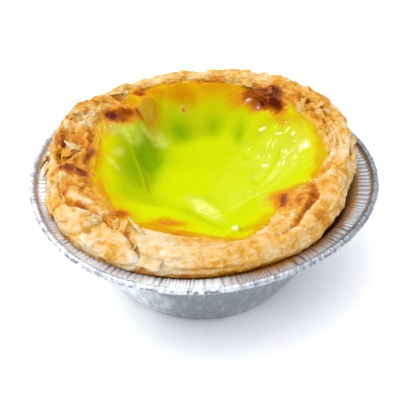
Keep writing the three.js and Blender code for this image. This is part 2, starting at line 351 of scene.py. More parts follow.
def foilMesh():
    # the profile turned round the axis, bent out of round, with narrow creases pushed in
    profile = np.asarray(foilCup["profile"])
    outer = resampled(profile[:7], 16)
    rolled = resampled(profile[6:20], 34)
    inner = resampled(profile[19:], foilCup["rows"] - 48)
    profile = np.concatenate([outer, rolled[1:-1], inner])
    angle = stepsRound(foilCup["around"])
    radius, z = profile[:, :1], profile[:, 1:]
    place = polar(radius, angle, z)

    wander = noise(polar(40, angle, 0 * angle), 9, 3)
    phase = angle * foilCup["creases"] / 360 + foilCup["creaseWander"] * wander
    number = (np.floor(phase).astype(np.int64) % foilCup["creases"])[..., None]
    depth = 0.1 + 0.9 * hashed(5, number) ** 1.3
    skew = 0.12 * (2 * hashed(6, number) - 1)
    within = phase - np.floor(phase) - 0.5
    flange = smoothstep(*foilCup["flangeFrom"], radius)
    flangeShare = flange * fade(*foilCup["flangeTo"], radius)
    beadShare = smoothstep(*foilCup["beadFrom"], radius)
    wallShare = fade(*foilCup["wallTo"], radius) * smoothstep(*foilCup["wallFrom"], z)
    fan = within - skew * (radius - 36.5) / 2
    crease = depth * ridge(fan, 0.17)
    pleat = (0.45 + 0.55 * depth) * (4 * np.abs(fan) - 1)

    crinkle = noise(place, 0.9, 21, 2)
    upright = tall(place, 0.09)
    streaks = np.abs(noise(upright, 1.6, 31, 2))
    dent = noise(tall(place, 0.6), 9, 41, 2)
    wallCrease = foilCup["wallCrease"] * (crease * smoothstep(15, 25, z) + 1.2 * (0.25 - streaks))
    outward = wallShare * (-wallCrease + foilCup["dent"] * dent) - beadShare * foilCup["beadCrease"] * (
        0.55 * crease - 0.5 * crinkle)
    lift = foilCup["flangeCrease"] * flangeShare * (pleat + 0.22 * crinkle)
    lift = lift + beadShare * (0.12 * crinkle + 0.1 * pleat)

    r = radius + rimBend(angle) * bendShare(z) + outward
    rings = polar(r, angle, np.maximum(z + lift, np.where(z < 0.01, 0, 0.02)))

    # the oil mask is partly real browned oil in a line inside the bead and partly painted: film is a painted
    # reflection of the crust and painted shade on the flange under the crust's edge, and inside paints the
    # shaded inner wall a warm brown
    reach = np.maximum.reduce([strength * fade(0.6, 1.1, np.abs(turn(angle, at)) / half)
                               for at, half, strength in foilCup["oilArcs"]])
    line = ridge(radius - 38.2, 0.27 + 0.12 * sector(angle, 140, 225, 12)) * (z > 25.3)
    inside = (np.arange(len(profile)) > foilCup["rows"] - 13)[:, None] * sector(angle, 285, 400, 20)
    film = (z > 24.9) * (0.3 * sector(angle, 282, 326, 8) * fade(36.8, 38.6, radius)
                         + 0.95 * sector(angle, 284, 400, 14) * fade(35.2, 36.9, radius))
    wobble = 0.75 + 0.5 * noise(place, 2.5, 51, 2)
    oilAndPaintedShade = unit(wobble * (1.25 * reach * line + film + 0.85 * inside))
    # painted shade: the wall and the flange are darkened towards the front and the right, and on the left of
    # the flange, with streaks down the wall
    shade = 0.5 + 0.5 * sector(angle, 252, 440, 14) * sector(angle, 180, 378, 46)
    shade = shade - 0.5 * noise(upright, 0.9, 55, 2) - 0.2 * noise(place, 12, 57)
    paintedShade = unit(shade) * fade(33.2, 34.4, radius)
    paintedShade = paintedShade + flange * (0.06 + 0.45 * sector(angle, 280, 400, 8) + 0.3 * sector(angle, 322, 395, 12)
                           + 0.24 * sector(angle, 160, 252, 14))
    # painted shade and dark reflections: dark wedges in the flange's creases, dark flecks and dashes on the
    # crinkled bead, a dark band under the bead and dark lines down the front of the wall
    patch = hashed(8, number)
    darker = 1 - 0.45 * bell(angle, 266, 26)
    wedge = 0.05 + 0.2 * patch * fade(35.2, 38.2, radius)
    fans = 1.3 * depth * ridge(fan, wedge) + 0.25 * patch**3 * (fan > 0)
    paintedCreaseShade = flange * fade(39.0, 39.5, radius) * darker * fans
    dashes = smoothstep(-0.05, 0.2, noise(place, 1.1, 58, 2)) * (0.7 + 0.6 * noise(place, 6, 59))
    low = ridge(z - 25.95 - 0.4 * noise(place, 5, 60), 0.35) * smoothstep(39.0, 39.4, radius)
    lines = wallShare * ridge(noise(upright, 1.1, 56), 0.07) * bell(angle, 264, 13) * smoothstep(9, 17, z)
    paintedFlecks = smoothstep(0.0, 0.4, noise(place, 0.6, 61, 2))
    crinkled = 0.4 * np.maximum(crinkle, 0) + 0.3 * paintedFlecks + 0.3 * patch * depth + 1.1 * dashes * low
    paintedCreaseShade = paintedCreaseShade + beadShare * crinkled + 0.4 * smoothstep(38.6, 39.2, radius) * fade(25.1, 25.5, z)
    paintedCreaseShade = paintedCreaseShade + 0.2 * beadShare + 0.65 * lines
    made = ringMesh("foil_cup_pressed", rings, (0.0, 0.0, 0.0), (0.0, 0.0, 0.3), {
        "oilAndPaintedShade": oilAndPaintedShade, "paintedShade": paintedShade, "paintedCreaseShade": unit(paintedCreaseShade)})
    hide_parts("foil_cup")
    return made


# Pastry crust: a smooth section carried round the mouth, broken into torn, lifted layers.

crust = {
    "around": 900,
    "rimRows": 92,
    "offset": -1.1,
    "bottom": (17.3, 0.8),
    "heel": (19.3, 2.1),
    "wallGap": 1.7,
    "leastGap": 1.25,
    "flareZ": 25.6,
    "overhangZ": 27.1,
    "droops": [(226, 18, 0.95), (260, 26, 1), (312, 12, 0.45)],    # where the edge sags on to the foil
    "ceiling": 35.1,
    "crestInset": 4.2,
    "thickness": 3.4,
    "floor": (16.8, 4.0),
    "innerZ": (9.0, 21.5),     # heights of the inner face's rings, and its drop below the mouth's edge
    "innerDrop": 1.7,
    # lines round the rim: mean, then height and direction of its tilt, then bulges: angle, width, height
    "outerRadius": [36.1, (0, 0), (38, 24, 1.9), (104, 14, -0.6), (174, 18, -1.6), (238, 20, 0.6),
                    (292, 30, -1.1), (326, 9, -0.5), (349, 8, -1.5), (184, 13, -0.9), (130, 9, -0.9),
                    (36, 12, 0.7)],
    "crestZ": [32.6, (1.7, 85), (44, 16, 0.7), (94, 20, -1), (128, 14, -1.5), (160, 22, 0.5)],
    "edgeZ": [30.5, (1.5, 100)],
    "mouthRadius": [27.3, (3.6, 55), (98, 20, 0.3), (132, 12, 1.8), (170, 20, -2.4), (232, 8, 2.2),
                    (160, 14, -0.8), (208, 12, -0.7), (290, 8, 3), (330, 10, -6.2), (131, 5.5, -4),
                    (304, 7, -1.1), (350, 10, -1.5)],
    "plateHeight": 0.85,       # torn sheets of three sizes
    "layerHeight": 0.5,
    "leafHeight": 0.14,
    "shardHeight": 0.95,       # broken facets of three sizes
    "facetHeight": 0.46,
    "crumbHeight": 0.14,
    "lumpHeight": 0.45,
    "seam": {"at": 236, "radius": 27.2, "perMm": 1.69, "width": 2.0, "depth": 1.5, "overlap": 0.9},
    "ledge": {"from": 262, "to": 284, "z": 28.2, "height": 0.6, "depth": 0.5},
    "slots": [                 # gaps between torn layers: points, width and depth
        ([(-32.6, 0.9, 33.3), (-32.2, -3, 32.2)], 0.75, 1.9),
        ([(-30.9, 15.4, 33.2), (-30.4, 11, 33)], 0.6, 1.4),
        ([(-31.6, 5.6, 34), (-31.4, 2.2, 33.7)], 0.6, 1.3),
        ([(-31.2, -10.3, 31.3), (-29.8, -14, 31.3), (-28.3, -16.3, 31.9), (-25.6, -17.6, 31.2)], 0.85, 1.9),
        ([(-25.6, -17.6, 31.2), (-20.8, -20.6, 30.2), (-18.8, -24.2, 31)], 0.6, 1),
        ([(22.4, 23.6, 33.6), (24.6, 20.6, 33.7)], 0.8, 1.2),
        ([(28.4, 19.2, 33.9), (30.2, 15.6, 33.6)], 0.7, 1),
        ([(34.8, 7.5, 31.7), (34.4, 0.5, 32.1)], 0.5, 0.9),
        ([(25.6, -8.6, 30.6), (24.9, -14, 31.9), (21.6, -19.4, 31.7), (20.4, -22.8, 31.8)], 0.95, 1.5),
        ([(20.4, -22.8, 31.8), (18.1, -25.7, 31.4)], 0.7, 0.8),
    ],
    "burns": [                 # x, y, half sizes, turn and strength
        (17.2, 22.8, 4.2, 2.1, -65, 1), (13, 25.8, 3.6, 1.7, -20, 0.6), (-20.8, 17.2, 3.4, 2, 15, 0.95),
        (-17.2, 18.2, 3.2, 1.7, 10, 0.62), (-15.2, 26, 2.6, 1.5, 30, 0.55), (-29.8, -5.6, 2.5, 2.2, 0, 0.76),
        (-27, -6.4, 2.6, 2, -10, 0.8), (-25.4, 2, 1.6, 3.2, 0, 0.6), (11, 28, 3.6, 1.2, -15, 0.6),
        (14, 26.8, 3, 1.2, -22, 0.75), (-25, -4.9, 1.6, 2.6, 0, 0.4), (18.1, -12.6, 2.4, 3.4, -25, 0.75),
        (-20, 17.4, 4.6, 1.9, 12, 0.75), (17, 25.6, 2.5, 1.4, -30, 0.85), (15.6, 24.2, 2.8, 2, -40, 0.9),
        (-7.2, 28.6, 3.6, 1.2, 8, 0.3), (4, 30.6, 2.4, 1.2, -6, 0.42), (-28.3, -16.3, 1.6, 0.8, -30, 0.35),
        (-18.6, -19.8, 1.5, 3.4, 8, 0.5),
    ],
    "stain": 0.7,              # how strongly the custard colours the torn edge
    "glazes": [                # orange glazed patches; the one low on the right, under the crust's edge, paints a warm colour into the shade there
        (-25.2, 3.6, 2, 5, 0, 0.9), (-24.6, -1.6, 1.6, 2.6, 0, 0.6), (-32.6, 2.2, 1.8, 4.5, 0, 1),
        (-30.8, 9.6, 1.8, 3.4, 10, 0.45), (-30.6, -12.4, 1.6, 2.6, -30, 0.8),
        (-27.8, -17, 2.4, 1.4, -10, 0.8), (-31, 13.4, 1.4, 3, 30, 0.7), (24, -8.6, 1.6, 3.2, 20, 0.95),
        (22.2, -13.6, 1.4, 3.4, -30, 0.7), (-22.6, -14.4, 1.6, 2.2, 40, 0.45), (-15, 27.6, 3.4, 1.6, 20, 0.6),
        (-19.4, 22.8, 3.8, 2, 20, 0.85), (23.5, 18.5, 2.6, 2, -40, 0.6), (29.5, 17.5, 2, 1.2, -50, 0.6),
        (-20, -23, 1.4, 2.4, 30, 0.5), (-17.2, -25.4, 1.6, 1.4, 20, 0.7), (23.4, 24.2, 2.2, 1.6, -45, 0.4),
        (27.6, -20.6, 2, 4, 50, 0.8), (-20.3, -28.5, 2.4, 1.4, -35, 0.35), (10.6, -30.2, 3.6, 1.4, 16, 0.35),
        (2.6, -30.6, 3, 1.3, 4, 0.3), (-17.2, -25.6, 2, 1.6, 20, 0.8),
    ],
    "creams": [                # pale plates, and a few pale spots that paint light over shaded places
        (6.2, -31, 3, 1.8, 0, 0.5), (14.5, -23.5, 2.2, 1.4, 20, 0.6), (-21.2, -17.6, 1.8, 3.2, 10, 0.6),
        (-31.3, 9.1, 2, 2.6, 10, 0.7), (20.6, 26.6, 2.4, 1.6, -50, 0.5), (-23.8, -26.2, 2.4, 2, -40, 0.5),
        (-22.3, -12.6, 1.8, 2.4, 20, 0.9), (27.8, -20.2, 1.2, 3.6, 52, 0.5), (16.2, 29.4, 3.4, 1.2, -28, 0.6),
        (-21.4, -17.4, 1.8, 3.4, 10, 0.6), (-28.1, 2.1, 2.4, 2.6, 0, 0.8), (-24.4, -10, 1.6, 3.4, 20, 0.8),
        (-25.3, 16.3, 2.4, 3, -20, 0.8), (-24.7, -22.2, 4, 3, -40, 0.5), (-10.6, -30.7, 4.5, 3, 10, 0.8),
        (29.4, 3.1, 1.8, 3.6, 10, 0.5), (-28.5, -9, 1.5, 2, 0, 0.5), (19.6, -17.4, 2, 2.6, -30, 0.5),
        (-12, -33.4, 4.2, 2.6, 0, 0.9), (14.8, -27.2, 3.2, 2.4, 20, 0.6), (-19.2, -30.6, 3, 2.4, -20, 0.5),
        (-26.5, 12, 2.4, 2.6, 0, 0.7), (30, 9, 2.4, 3, 20, 0.6),
    ],
    "creamy": [(224, 13, 0.25), (252, 10, 1), (90, 24, 0.3), (4, 10, 0.4), (318, 8, 0.3)],
    "toasted": [               # redder golden regions of the rim: angle, width, strength
        (165, 18, 0.4), (190, 14, 0.35), (40, 26, 0.42), (20, 16, 0.2), (342, 12, 0.2), (325, 8, 0.45),
        (290, 14, 0.12), (216, 16, 0.25), (131, 10, 0.55),
    ],
}


def shellCentre(z):
    # the shell stands centred on the base and leans to one side further up
    return crust["offset"] * smoothstep(wallMiddle[1], wallTop[1], z)


def shellWallRadius(angle, z):
    # clear of the foil, and nearer where the shell leans on it
    free = foilWallRadius(z) - crust["wallGap"]
    lean = rimBend(angle) * bendShare(z) - shellCentre(z) * cosDegrees(angle)
    return np.minimum(free, foilWallRadius(z) + lean - crust["leastGap"])


def rimLine(name, angle):
    # a mean, one cosine wave and bell curves
    mean, (tilt, at), *bulges = crust[name]
    return mean + tilt * cosDegrees(angle - at) + bulgeSum(angle, bulges)


def rimControls(angle):
    # the rim's section: past the flange, out over it, over the crest and down to the custard
    wall = shellWallRadius(angle, wallTop[1])
    lines = ("outerRadius", "crestZ", "mouthRadius", "edgeZ")
    outer, crest, mouth, edge = (rimLine(name, angle) for name in lines)
    crestRadius = outer - crust["crestInset"]
    droop = np.minimum(bulgeSum(angle, crust["droops"]), 1)
    flare, over = crust["flareZ"] + 0 * angle, crust["overhangZ"] - 1.8 * droop
    return np.array([
        (wall, flare), (mix(wall + 0.1, outer - 0.6, droop), flare + 1.0 - 0.8 * droop),
        (outer - 0.2 + 0.3 * droop - 1.0 * bell(angle, 256, 30), over),
        (outer + 0.7 - 0.2 * droop, over + 1.8 + 0.1 * droop), (outer, crest - 1.3),
        (crestRadius + 1.9, crest + 0.6), (crestRadius - 1.2, crest + 0.2),
        (mix(crestRadius, mouth, 0.7), mix(crest, edge, 0.6)), (mouth, edge + 0.1),
    ])


def rimSection(angle, rows):
    # the spline of that section at even steps: radius, height, outward normal, share and length
    controls = rimControls(angle)
    fine = np.linspace(0, 1, 400)
    middle = splineWeights(fine, len(controls)) @ controls.mean(-1)
    length = lengthAlong(middle)
    share = np.interp(np.linspace(0, length[-1], rows), length, fine)
    weights = (splineWeights(unit(share + by), len(controls)) for by in (-0.01, 0, 0.01))
    behind, place, ahead = (np.einsum("kc,cda->kda", weight, controls) for weight in weights)
    step = unitLong(ahead - behind, 1)
    arc = np.linspace(0, length[-1], rows)[:, None]
    return place[:, 0], place[:, 1], step[:, 1], -step[:, 0], share[:, None], arc


def shellPoints(angle, radius, z):
    # polar place round the leaning shell's centre
    return polar(radius, angle, z, shellCentre(z))


def shellRing(angle, radius, z):
    return shellPoints(angle, radius + 0 * angle, z + 0 * angle)


def wallRing(angle, z, inside):
    # a ring so far inside the shell's outer wall
    return shellRing(angle, shellWallRadius(angle, z) - inside, z)


def rimRelief(angle, share, arc, radius, place):
    # height of the torn layers above the smooth section, and how much of a free edge shows
    window = smoothstep(0.08, 0.26, share) * fade(0.93, 1.0, share)
    craggy = 0.34 + 0.76 * bell(angle, 172, 40) + 0.3 * bell(angle, 42, 34)
    craggy = craggy * (1 - 0.55 * sector(angle, 204, 240, 10) * fade(0.35, 0.55, share))
    calm = sector(angle, 248, 312, 10)
    craggy = craggy * (1 - 0.55 * calm)
    along = polar(32, angle, arc)

    wide = noise(tall(along, 1.6), 13, 61, 2)
    fine = noise(place, 1.2, 62, 2)
    plateField = arc / 7.0 + 0.8 * wide + 0.22 * noise(place, 3.6, 63) + 0.05 * fine
    plate, plateEdge = sheets(plateField, 0.3, 0.4, 0.06)
    flaky = smoothstep(-0.25, 0.35, noise(place, 7, 67))
    layerField = arc / 3.2 + 0.9 * noise(tall(along, 2.0), 9, 64, 2) + 0.1 * fine
    layer, layerEdge = sheets(layerField, 0.35, 0.45, 0.09)
    leafField = arc / 1.3 + 1.1 * noise(tall(along, 2.4), 7, 65, 2) + 0.15 * fine
    leaf, leafEdge = sheets(leafField, 0.3, 0.3, 0.2)
    warp = np.stack([noise(place, 1.6, 71 + axis, 2) for axis in range(3)], -1)
    flat = tall(place, 1.3)
    shard, shardTone, shardInside = facets(flat + 0.9 * warp, 4.2, 66)
    facet, facetTone, inside = facets(flat + 0.5 * warp, 2.0, 166)
    crumb, _, crumbInside = facets(place + 0.2 * warp, 0.95, 76)
    lumps = noise(place, 6.5, 86, 2)

    partly = 0.3 + 0.7 * craggy
    torn = crust["plateHeight"] * plate * craggy + crust["layerHeight"] * layer * flaky * partly
    steep = 1 - 0.8 * smoothstep(0.6, 0.8, share) * bell(angle, 88, 30)
    torn = steep * (torn + crust["leafHeight"] * leaf * flaky)
    torn = torn + crust["shardHeight"] * shard * (0.2 + 0.8 * craggy)
    torn = torn + crust["facetHeight"] * facet * (0.35 + 0.65 * craggy) + crust["crumbHeight"] * crumb
    torn = (softened(torn, 1, 1) + crust["lumpHeight"] * lumps * partly - 0.2) * window

    seam = crust["seam"]
    fromSeam = turn(angle, seam["at"] + seam["perMm"] * (radius - seam["radius"]))
    cut = -seam["depth"] * ridge(fromSeam + 0.8 * fine, seam["width"])
    over = np.where(fromSeam < 0, seam["overlap"] * np.exp(np.minimum(fromSeam, 0) / 7), 0)
    seamShare = smoothstep(0.2, 0.3, share) * fade(0.8, 0.95, share)

    ledge = crust["ledge"]
    under = ridge(place[..., 2] - ledge["z"] - 0.3 * noise(place, 4, 96), ledge["height"])
    step = ledge["depth"] * under * fade(0.4, 0.5, share) * sector(angle, ledge["from"], ledge["to"], 3)

    slots = 0
    for path, width, depth in crust["slots"]:
        away = pathDistance(place, path) + 0.25 * fine
        slots = slots + depth * ridge(away, width)
    relief = torn + (cut + over) * seamShare - step - np.minimum(slots, 2.2) * window
    free = [plateEdge * craggy, 0.8 * flaky * layerEdge * partly, 0.4 * flaky * leafEdge]
    free = np.maximum.reduce(free)
    # painted shade: darker lines in the cracks between the facets
    paintedCrackShades = fade(0.02, 0.14, np.minimum(np.minimum(shardInside, inside + 0.02), crumbInside + 0.07))
    streak = noise(tall(along, 3.2), 3.4, 91, 3)
    sheetTone = 0.5 * hashed(31, np.floor(layerField).astype(np.int64)[..., None])
    sheetTone = sheetTone + 0.5 * hashed(32, np.floor(leafField).astype(np.int64)[..., None])
    ruled = steep * (1 - 0.7 * calm) * (1 - 0.5 * bell(angle, 180, 30))
    patchy = (1 - 0.5 * calm) * ((0.24 + 0.16 * craggy) * shardTone + 0.18 * facetTone)
    tone = 0.5 + patchy + ruled * (0.5 * (sheetTone - 0.5) + 0.45 * streak)
    return relief, free * window, paintedCrackShades * window, slots * window, tone


def crustShape():
    # rings of the whole shell, and the masks that its finish reads
    angle = stepsRound(crust["around"])
    radius, z, outward, upward, share, arc = rimSection(angle[0], crust["rimRows"])
    place = shellPoints(angle, radius, z)
    relief, free, paintedCrackShades, slots, tone = rimRelief(angle, share, arc, radius, place)
    rim = capped(shellPoints(angle, radius + outward * relief, z + upward * relief), crust["ceiling"])

    lower = [shellRing(angle, *crust["bottom"]), shellRing(angle, *crust["heel"]),
             wallRing(angle, wallMiddle[1], 0), wallRing(angle, wallTop[1], 0)]
    inner = [shellRing(angle, rimLine("mouthRadius", angle), rimLine("edgeZ", angle) - crust["innerDrop"]),
             *(wallRing(angle, height, crust["thickness"]) for height in crust["innerZ"][::-1]),
             shellRing(angle, *crust["floor"])]
    rings = np.concatenate([*lower, rim, *inner])

    # painted shade: a darker, more orange colour in the recesses, slots and gaps between the layers
    sunk = softened(relief, 7, 7) - relief
    deep = softened(relief, 14, 16) - relief
    paintedRecessShade = unit(0.75 * smoothstep(0.05, 0.7, sunk) + 0.8 * smoothstep(0.25, 1.5, deep))
    paintedRecessShade = np.maximum(paintedRecessShade, 0.95 * smoothstep(0.1, 1.1, slots))
    # pale on raised parts and free edges: partly the thin edges' own paler colour, partly painted light on
    # what stands out
    raised = unit(smoothstep(0.05, 0.55, -sunk) * 0.7 + 0.6 * free)
    ragged = 0.45 * noise(place, 2.2, 101, 3)
    burn = spotMask(place, crust["burns"], ragged)
    toasted = bulgeSum(angle, crust["toasted"])
    glaze = smoothstep(0.84, 0.98, share + 0.05 * ragged) * (0.5 + 0.45 * noise(place, 6, 111))
    glaze = glaze * (1 - 0.5 * sector(angle, 240, 300, 10))
    glaze = glaze + 0.4 * smoothstep(0.9, 0.97, share + 0.05 * ragged) * sector(angle, 120, 240, 15)
    glaze = np.maximum(glaze, spotMask(place, crust["glazes"], ragged)) * (1 - 0.6 * paintedRecessShade)
    creamy = bulgeSum(angle, crust["creamy"])
    creamy = np.maximum(creamy * (1 + 0.6 * noise(place, 5, 121)), spotMask(place, crust["creams"], ragged))
    # darker, browner and less pale low on the rim's front and right
    under = fade(0.2, 0.36, share) * sector(angle, 190, 340, 20)
    toasted, glaze, creamy = toasted + 0.9 * under, glaze + 0.5 * under, creamy * (1 - under)
    stain = crust["stain"] * smoothstep(0.93, 1.0, share + 0.06 * ragged)
    values = {
        "paintedRecessShade": paintedRecessShade, "raised": raised, "stain": stain, "burn": burn, "paintedCrackShade": paintedCrackShades,
        "toasted": unit(toasted + 0 * paintedRecessShade), "tone": unit(tone), "glaze": unit(glaze),
        "paleAndPaintedLight": unit(creamy),
    }
    return rings, carried(values, len(lower), len(inner)), rim


def crustMesh(rings, values):
    bottom, floor = (0.0, 0.0, crust["bottom"][1]), (0.0, 0.0, crust["floor"][1])
    made = ringMesh("pastry_shell", rings, bottom, floor, values)
    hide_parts("pastry_crust")
    return made


# Loose flakes: thin curled scraps of pastry, each rooted in the crust.

flakes = {
    "count": 44,
    "seed": 11,
    "rows": 5,
    "across": 5,
    "thickness": 0.1,
    "length": (1.3, 0.4),      # middle and spread, as a log-normal, in millimetres
    "longest": 4.0,
    "lift": (-2, 12),          # degrees
    "curl": (-0.05, 0.2),      # rise of the free end as a share of the length
    "spikes": 4,               # the first of the named ones stand clear of the relief
    "named": [                 # root, heading in plan, lift, length, width, curl, sunk
        ((21.6, 18.2, 30.6), 60, 60, 4.6, 1.5, -0.1, 0.6),
        ((-12.2, -25.4, 31), 132, 18, 5.8, 1.4, 0.05, 0.4),
        ((-16.6, -25.6, 31.3), 74, 34, 3.2, 1.6, 0.05, 0.4),
        ((-18, -24.6, 31.3), 108, 24, 2.8, 1.7, 0.1, 0.4),
        ((-10.4, -33.7, 29.4), 254, 8, 3.4, 5.2, 0.15, 0.6),
        ((31.2, -15, 29.6), 318, -38, 2.4, 2.2, -0.1, 0.5),
        ((33.4, -8.2, 31), 342, -18, 2.8, 2.2, -0.1, 0.5),
        ((24.2, -23.8, 29.6), 306, -14, 3.4, 2.4, 0.1, 0.6),
        ((34.6, 4.4, 31), 8, -12, 2.6, 3, 0.1, 0.5),
        ((-27.4, 8.6, 33), 150, 20, 4.4, 3.6, 0.15, 0.7),
        ((-28.6, 2.6, 32.8), 205, 20, 3.6, 2.6, 0.25, 0.7),
        ((26.4, 18.4, 34), 24, 14, 3, 2.4, 0.1, 0.5),
    ],
    "crumbs": [                # scraps that lie on the foil: place, heading, length and width
        ((-31.6, -19.6, 25.75), 40, 2.2, 1.3), ((-29.4, -22.6, 25.75), 100, 1.3, 0.9),
        ((-33.9, -15.2, 25.75), 15, 1.2, 0.8), ((9.6, -36.4, 25.75), 160, 1.1, 0.7),
    ],
}


def flakeMesh(rim, values, firstRow):
    # each flake is a small grid folded round into a thin closed slip: it runs from its root
    # along a heading, rises by its lift and curl, narrows and is jagged at its free end
    random = np.random.default_rng(flakes["seed"])
    normals = surfaceNormals(rim)
    rising = unitLong(np.gradient(rim, axis=0))
    rows, columns = rim.shape[:2]
    angle = stepsRound(columns)
    share = np.linspace(0, 1, rows)[:, None]
    raised = values["raised"][firstRow:firstRow + rows]
    weight = (0.16 + bell(angle, 168, 46) + 0.45 * bell(angle, 42, 34) + 0.25 * bell(angle, 340, 20))
    weight = weight * (1 - 0.85 * ridge(share - 0.5, 0.09))
    weight = weight * smoothstep(0.16, 0.3, share) * fade(0.8, 0.92, share) * (0.25 + raised)
    count, named, crumbs = flakes["count"], flakes["named"], flakes["crumbs"]
    chosen = random.choice(rows * columns, count, replace=False, p=(weight / weight.sum()).ravel())

    flat = rim.reshape(-1, 3)
    roots = np.array([row[0] for row in named])
    nearest = np.array([np.argmin(((flat - root) ** 2).sum(-1)) for root in roots])
    places = np.array([row[0] for row in crumbs])
    vertex = np.concatenate([chosen, nearest])
    root = np.concatenate([flat[vertex], places])
    up = np.concatenate([normals.reshape(-1, 3)[vertex], np.tile([0, 0, 1.0], (len(crumbs), 1))])
    up[count:count + flakes["spikes"]] = (0, 0, 1)

    turned = np.radians(random.normal(0, 48, count))[:, None]
    outward = np.where(share + 0 * angle < 0.52, -1.0, 1.0)[..., None] * rising
    outward = outward.reshape(-1, 3)[chosen]
    sideways = np.cross(up[:count], outward)
    scattered = np.cos(turned) * outward + np.sin(turned) * sideways
    headings = np.radians([row[1] for row in named] + [row[1] for row in crumbs])
    plan = np.stack([np.cos(headings), np.sin(headings), 0 * headings], -1)
    forward = np.concatenate([scattered, plan])
    forward = unitLong(forward - (forward * up).sum(-1, keepdims=True) * up)
    side = np.cross(up, forward)

    def joined(low, high, column, crumbValue):
        given = [row[column] for row in named]
        return np.concatenate([random.uniform(low, high, count), given, crumbValue])

    middle, spread = flakes["length"]
    lengths = np.minimum(middle * np.exp(random.normal(0, spread, count)) + 0.5, flakes["longest"])
    length = np.concatenate([lengths, [row[3] for row in named], [row[2] for row in crumbs]])
    width = np.concatenate([lengths * random.uniform(0.7, 1.5, count), [row[4] for row in named],
                            [row[3] for row in crumbs]]) / 2
    lift = np.radians(joined(*flakes["lift"], 2, [0] * len(crumbs)))[:, None]
    curl = joined(*flakes["curl"], 5, [0.05] * len(crumbs))
    sunk = joined(0.3, 0.5, 6, [0] * len(crumbs))
    ahead = forward * np.cos(lift) + up * np.sin(lift)
    above = up * np.cos(lift) - forward * np.sin(lift)

    total, across, each = len(root), flakes["across"], np.s_[:, None, None]
    v = np.linspace(0, 1, flakes["rows"])[None, :, None]
    u = np.linspace(-1, 1, across)[None, None, :]
    jag = random.uniform(-1, 1, (total, flakes["rows"], across))
    cup = random.uniform(-0.25, 0.35, (total, 1, 1))
    outline = random.uniform(0.45, 1.15, (total, flakes["rows"], 2))
    ragged = np.concatenate([np.ones(count), np.full(len(named), 0.4), np.ones(len(crumbs))])[each]
    outline = mix(1.0, outline, ragged)
    sided = np.where(u < 0, outline[:, :, :1], outline[:, :, 1:])
    end = mix(1.0, random.uniform(0.7, 1.12, (total, 1, across)), ragged)
    size, wide = length[each], width[each]
    run = v * size * mix(1, end, v) - sunk[each]
    slender = smoothstep(3, 4.5, length / (2 * width))[each]
    reach = u * wide * sided * (1 - 0.75 * slender * v)
    rise = size * (curl[each] * v**2) + cup * wide * u**2 + 0.03 * size * np.roll(jag, 1, 1)
    sheet = root[each] + run[..., None] * ahead[each] + reach[..., None] * side[each]
    sheet = sheet + rise[..., None] * above[each]
    nearEdge = np.maximum(np.abs(u), v)
    thick = (flakes["thickness"] * (1 - 0.55 * nearEdge))[..., None] / 2 * above[each]
    slip = capped(np.concatenate([sheet + thick, (sheet - thick)[:, :, ::-1]], axis=2), crust["ceiling"])

    ring = 2 * across
    corner = np.arange(total * flakes["rows"] * ring).reshape(total, flakes["rows"], ring)
    after = np.roll(corner, -1, 2)
    sides = np.stack([corner[:, :-1], corner[:, 1:], after[:, 1:], after[:, :-1]], -1).reshape(-1, 4)
    k = np.arange(across - 1)
    ends = [(0, (k, k + 1, ring - 2 - k, ring - 1 - k)), (-1, (k + 1, k, ring - 1 - k, ring - 2 - k))]
    near, far = (np.stack([corner[:, row, at] for at in columns], -1).reshape(-1, 4) for row, columns in ends)

    edge = np.broadcast_to(unit(nearEdge**2), (total, flakes["rows"], across))
    edge = np.concatenate([edge, edge[:, :, ::-1]], 2)
    rooted = np.broadcast_to((1 - v) ** 2, (total, flakes["rows"], ring))

    def fromCrust(label):
        there = values[label][firstRow:firstRow + rows].ravel()[vertex]
        return np.concatenate([there, np.zeros(len(crumbs))])[each] + 0 * rooted

    tone = unit(0.7 * fromCrust("tone") + random.uniform(-0.05, 0.35, (total, 1, 1)))
    # painted shade towards each flake's root, pale and painted light at its edges, and painted light over the
    # slender ones, which would stand in shade
    made = meshFrom("crust_flakes", slip.reshape(-1, 3), [sides, near, far], {
        "paintedRecessShade": 0.45 * rooted * (0.5 + tone), "raised": 0.5 * edge * tone, "stain": 0 * rooted,
        "burn": 0.7 * fromCrust("burn"), "paintedCrackShade": 0 * rooted, "toasted": fromCrust("toasted") * tone,
        "glaze": 0.5 * fromCrust("glaze"), "tone": tone,
        "paleAndPaintedLight": unit(fromCrust("paleAndPaintedLight") + 0.05 + 0.9 * slender),
    })
    return made


# Custard: a sunken, skinned dish that laps on to the crust all round.

